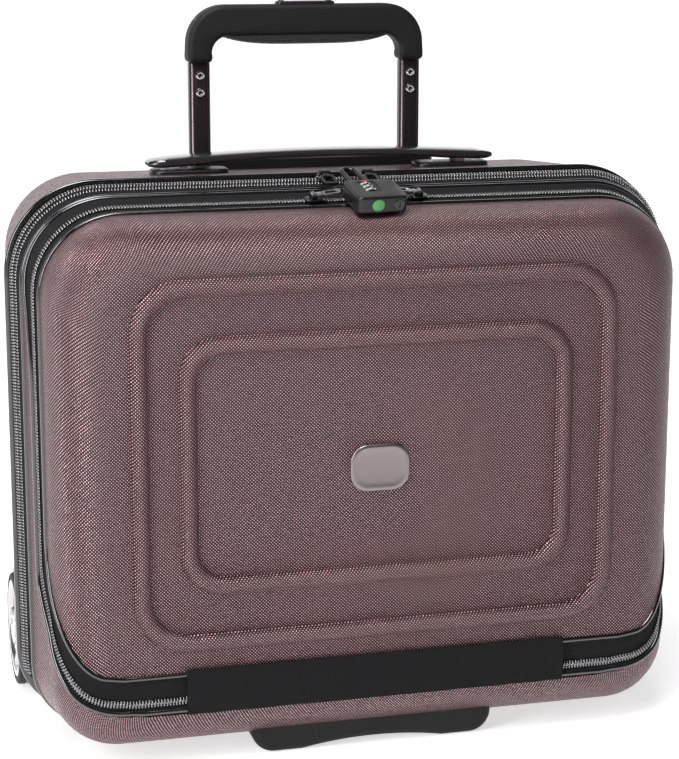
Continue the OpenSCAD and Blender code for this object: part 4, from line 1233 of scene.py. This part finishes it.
def makePull(name, place, w, l, thick=1.6):
    # Barrel on the pin, a neck and an open frame, lying along the place's -Y.
    ring = lambda loop, z: [tuple(place @ Vector((x, y, z))) for x, y in loop]
    middle = -4.6 - (l - 4.6) / 2
    outer = [roundRect(w - 2 * i, l - 4.6 - 2 * i, 2.2 - i * 0.7, 6, 0, middle) for i in (0, 0.35)]
    hole = -7.2 - (l - 10) / 2
    inner = [roundRect(w - 3.4 + 2 * i, l - 10 + 2 * i, 1.2 + i * 0.7, 6, 0, hole) for i in (0, 0.35)]
    t = thick / 2
    rings = [ring(outer[0], 0.45 - t), ring(outer[0], t - 0.45), ring(outer[1], t), ring(inner[1], t),
             ring(inner[0], t - 0.45), ring(inner[0], 0.45 - t), ring(inner[1], -t), ring(outer[1], -t)]
    frameRing = loft("frame", rings, close=True, sharp=35)
    neck = bevel(prism("neck", roundRect(4.3, 6, 0.4, 2, 0, -3), -t, t, place), 0.3, 2)
    barrel = lathe("barrel", [(0.86, -2.2), (1.6, -2.2), (1.6, 2.2), (0.86, 2.2)], place @ turn(y=90), 32, 35)
    return join(name, frameRing, neck, barrel)


for side, name in ((-1, "left"), (1, "right")):
    title = name.capitalize()
    mainPlace = move(side * sliderValues["mainX"] - 2, -33.4, 344.4)
    pocketPlace = move(side * sliderValues["pocketX"] + 3, -62, 335.2) @ turn(x=14.04)
    lift = move(0, 0, sliderValues["pinHeight"])
    finish(makeSlider("mainSlider" + title, mainPlace, 0, True), sliderLook, f"main_slider_{name}_body",
           "main_slider_" + name, slot="slider_metal")
    finish(makeSlider("pocketSlider" + title, pocketPlace, 90, False), sliderLook, f"pocket_slider_{name}_body",
           "pocket_slider_" + name, slot="slider_metal")
    finish(makePull("mainPull" + title, mainPlace @ lift @ turn(x=14), *sliderValues["mainPull"]), sliderLook,
           f"main_pull_{name}_body", "main_pull_" + name, slot="slider_metal")
    finish(makePull("pocketPull" + title, pocketPlace @ lift @ turn(z=side * -90) @ turn(x=-6),
                    *sliderValues["pocketPull"]),
           brightPullLook, f"pocket_pull_{name}_body", "pocket_pull_" + name, slot="slider_metal")

print("stage: padlock")
lockValues = {"width": 32, "length": 30, "thick": 10.6, "shackle": 1.6, "notches": 10, "dialX": -3,
              "dialPitch": 4.8, "dialRadius": 5.3, "dotRadius": 3.75, "plugX": 10.2}
lockPlace = move(0, -34, 351.4) @ turn(x=14, z=5)


def lockHalf(name, keep):
    v = lockValues
    obj = prism(name, roundRect(v["width"], v["length"], 4, 8, 0, -46), -v["thick"] / 2, v["thick"] / 2, lockPlace)
    bevel(obj, 1.7, 5, 45, 35)
    near, far = 5 - keep * 0.12, 5 - keep * 60
    away = prism("away", [(near, -80), (far, -80), (far, -10), (near, -10)], -20, 20, lockPlace)
    return cut(obj, away)


def dialPlace(i):
    return lockPlace @ move(lockValues["dialX"], -38 - lockValues["dialPitch"] * i, 0.8) @ turn(x=90)


def lockFace(x, y=-61):
    return lockPlace @ move(x, y, 0) @ turn(x=90)


def makeLockCase():
    obj = lockHalf("padlockCase", -1)
    r = lockValues["dialRadius"] + 0.3
    slots = [lathe("slot", [(0.01, -1.95), (r, -1.95), (r, 1.95), (0.01, 1.95)], dialPlace(i), 48)
             for i in range(3)]
    well = prism("well", roundRect(11.5, 16.6, 1.6, 5, -3, -42.8), 4.9, 8, lockPlace)
    face = prism("seat", roundRect(7.8, 7.8, 3.89, 12, 0, 0), 0, 1.2, lockFace(lockValues["dialX"], -60.4))
    return cut(obj, *slots, well, face)


def makeDial(name, i):
    def wave(r, z, a):
        return r - (0.35 * max(0.0, math.cos(lockValues["notches"] * a)) ** 3 if r > 4 else 0)
    r = lockValues["dialRadius"]
    profile = [(1.36, -1.6), (r - 0.4, -1.6), (r, -1.25), (r, 1.25), (r - 0.4, 1.6), (1.36, 1.6)]
    return lathe(name, profile, dialPlace(i), 80, 40, wave)


def makeShackle():
    path = [((2.5, y, 0), (0, 0, 1)) for y in (-35, -28, -20, -12)]
    path += [((x - 2, y - 4.5, 0), (0, 0, 1)) for x, y in arc(4.5, range(0, 181, 9))]
    path += [((-6.5, y, 0), (0, 0, 1)) for y in (-12, -20, -28, -35)]
    path = [(tuple(lockPlace @ Vector(p)), tuple(lockPlace.to_3x3() @ Vector(n))) for p, n in path]
    return sweep("padlockShackle", path, arc(lockValues["shackle"], range(0, 360, 20)), closed=False)


finish(makeLockCase(), lockLook, "padlock", "padlock_case", slot="lock_body")
finish(lockHalf("padlockSide", 1), lockLook, "padlock", "padlock_side", slot="lock_body")
finish(makeShackle(), sliderLook, "padlock_shackle_body", "padlock_shackle", slot="steel")
for i, name in enumerate(("rear", "middle", "front")):
    finish(makeDial("dial" + name.capitalize(), i), chromeLook, f"dial_{name}_body", "dial_" + name, slot="chrome")
r = lockValues["dotRadius"]
dot = lathe("greenDot", [(0.01, -0.8), (r, -0.8), (r, 0.1), (r - 0.35, 0.32), (0.01, 0.38)],
            lockFace(lockValues["dialX"]), 48, 40)
finish(dot, dotLook, "padlock", "padlock_dot", slot="green_dot")
plugPlace = lockFace(lockValues["plugX"])
plug = lathe("keyPlug", [(0.01, -7.8), (3.35, -7.8), (3.35, 0.15), (3.05, 0.4), (0.01, 0.4)], plugPlace, 48, 30)
cut(plug, prism("keyway", roundRect(0.9, 4.2, 0.3), -2, 2, plugPlace))
finish(plug, sliderLook, "key_plug_body", "key_plug", slot="slider_metal")
redMark = bevel(prism("redMark", roundRect(4.2, 1.4, 0.4), 0, 0.35, lockPlace @ move(-3, -34.3, 5.25)), 0.1, 2)
redLook = solidLook("redPaint", (0.45, 0.02, 0.02), 0.4)
finish(redMark, redLook, "padlock", slot="lock_body")

print("stage: remaining parts")
slotLooks = {"lining": liningLook, "black_plastic": blackLook, "rubber": rubberLook, "steel": steelLook,
             "tube": tubeLook, "chrome": chromeLook, "slider_metal": sliderLook, "tape": tapeLook}
nodeSlots = {row["node"]: row["material_slot"] for row in frame["record"]["subparts"]}
for name, obj in frame["nodes"].items():
    look = slotLooks.get(nodeSlots.get(name))
    if look:
        for place in obj.material_slots:
            place.material = look.mat


print("stage: floor, lights and camera")


def makeFloor():
    points, faces = [], []
    rows = [(-6000, 0), (2600, 0)] + [(2600 + 900 * math.sin(math.radians(a)), 900 - 900 * math.cos(math.radians(a)))
                                      for a in range(6, 91, 6)] + [(3500, 5000)]
    for y, z in rows:
        points += [(-7000, y, z), (7000, y, z)]
    for i in range(len(rows) - 1):
        faces.append((2 * i, 2 * i + 1, 2 * i + 3, 2 * i + 2))
    obj = makePiece("floor", points, faces)
    look = Look("paleFloor", (0.86, 0.86, 0.86), 0.9, Specular_IOR_Level=0.1, Emission_Color=(1, 1, 1, 1),
                Emission_Strength=0.62)
    obj.data.materials.append(look.mat)


makeFloor()


# place, watts, and width and height of each softbox
lightValues = {"topSoftbox": ((-0.45, -0.5, 1.9), 36, (1.1, 0.7)),
               "leftSoftbox": ((-1.6, -1.0, 0.9), 26, (0.45, 1.3)),
               "rightSoftbox": ((1.6, -0.9, 0.9), 0.6, (0.5, 1.3))}
for name, (place, power, size) in lightValues.items():
    data = bpy.data.lights.new(name, "AREA")
    data.energy = power
    data.shape = "RECTANGLE"
    data.size, data.size_y = size
    obj = bpy.data.objects.new(name, data)
    obj.location = place
    obj.rotation_euler = (Vector((0, 0, 0.2)) - Vector(place)).to_track_quat("-Z", "Y").to_euler()
    bpy.context.scene.collection.objects.link(obj)
bpy.context.scene.view_settings.view_transform = "Standard"
world = bpy.data.worlds.new("studio")
world.use_nodes = True
world.node_tree.nodes["Background"].inputs[0].default_value = (0.9, 0.92, 0.95, 1)
world.node_tree.nodes["Background"].inputs[1].default_value = 0.1
bpy.context.scene.world = world

cameraValues = {"place": (-0.3354, -1.2819, 0.5064), "right": (0.9671, -0.2544, 0.0014),
                "up": (0.0553, 0.2102, 0.9761), "back": (-0.2483, -0.9440, 0.2173), "lens": 99.87}
cameraData = bpy.data.cameras.new("camera")
cameraData.lens = cameraValues["lens"]
cameraData.sensor_width = 36
cameraData.sensor_fit = "AUTO"
camera = bpy.data.objects.new("camera", cameraData)
axes = Matrix([cameraValues["right"], cameraValues["up"], cameraValues["back"]]).transposed()
camera.matrix_world = Matrix.Translation(cameraValues["place"]) @ axes.to_4x4()
bpy.context.scene.collection.objects.link(camera)
bpy.context.scene.camera = camera

print("stage: finish")
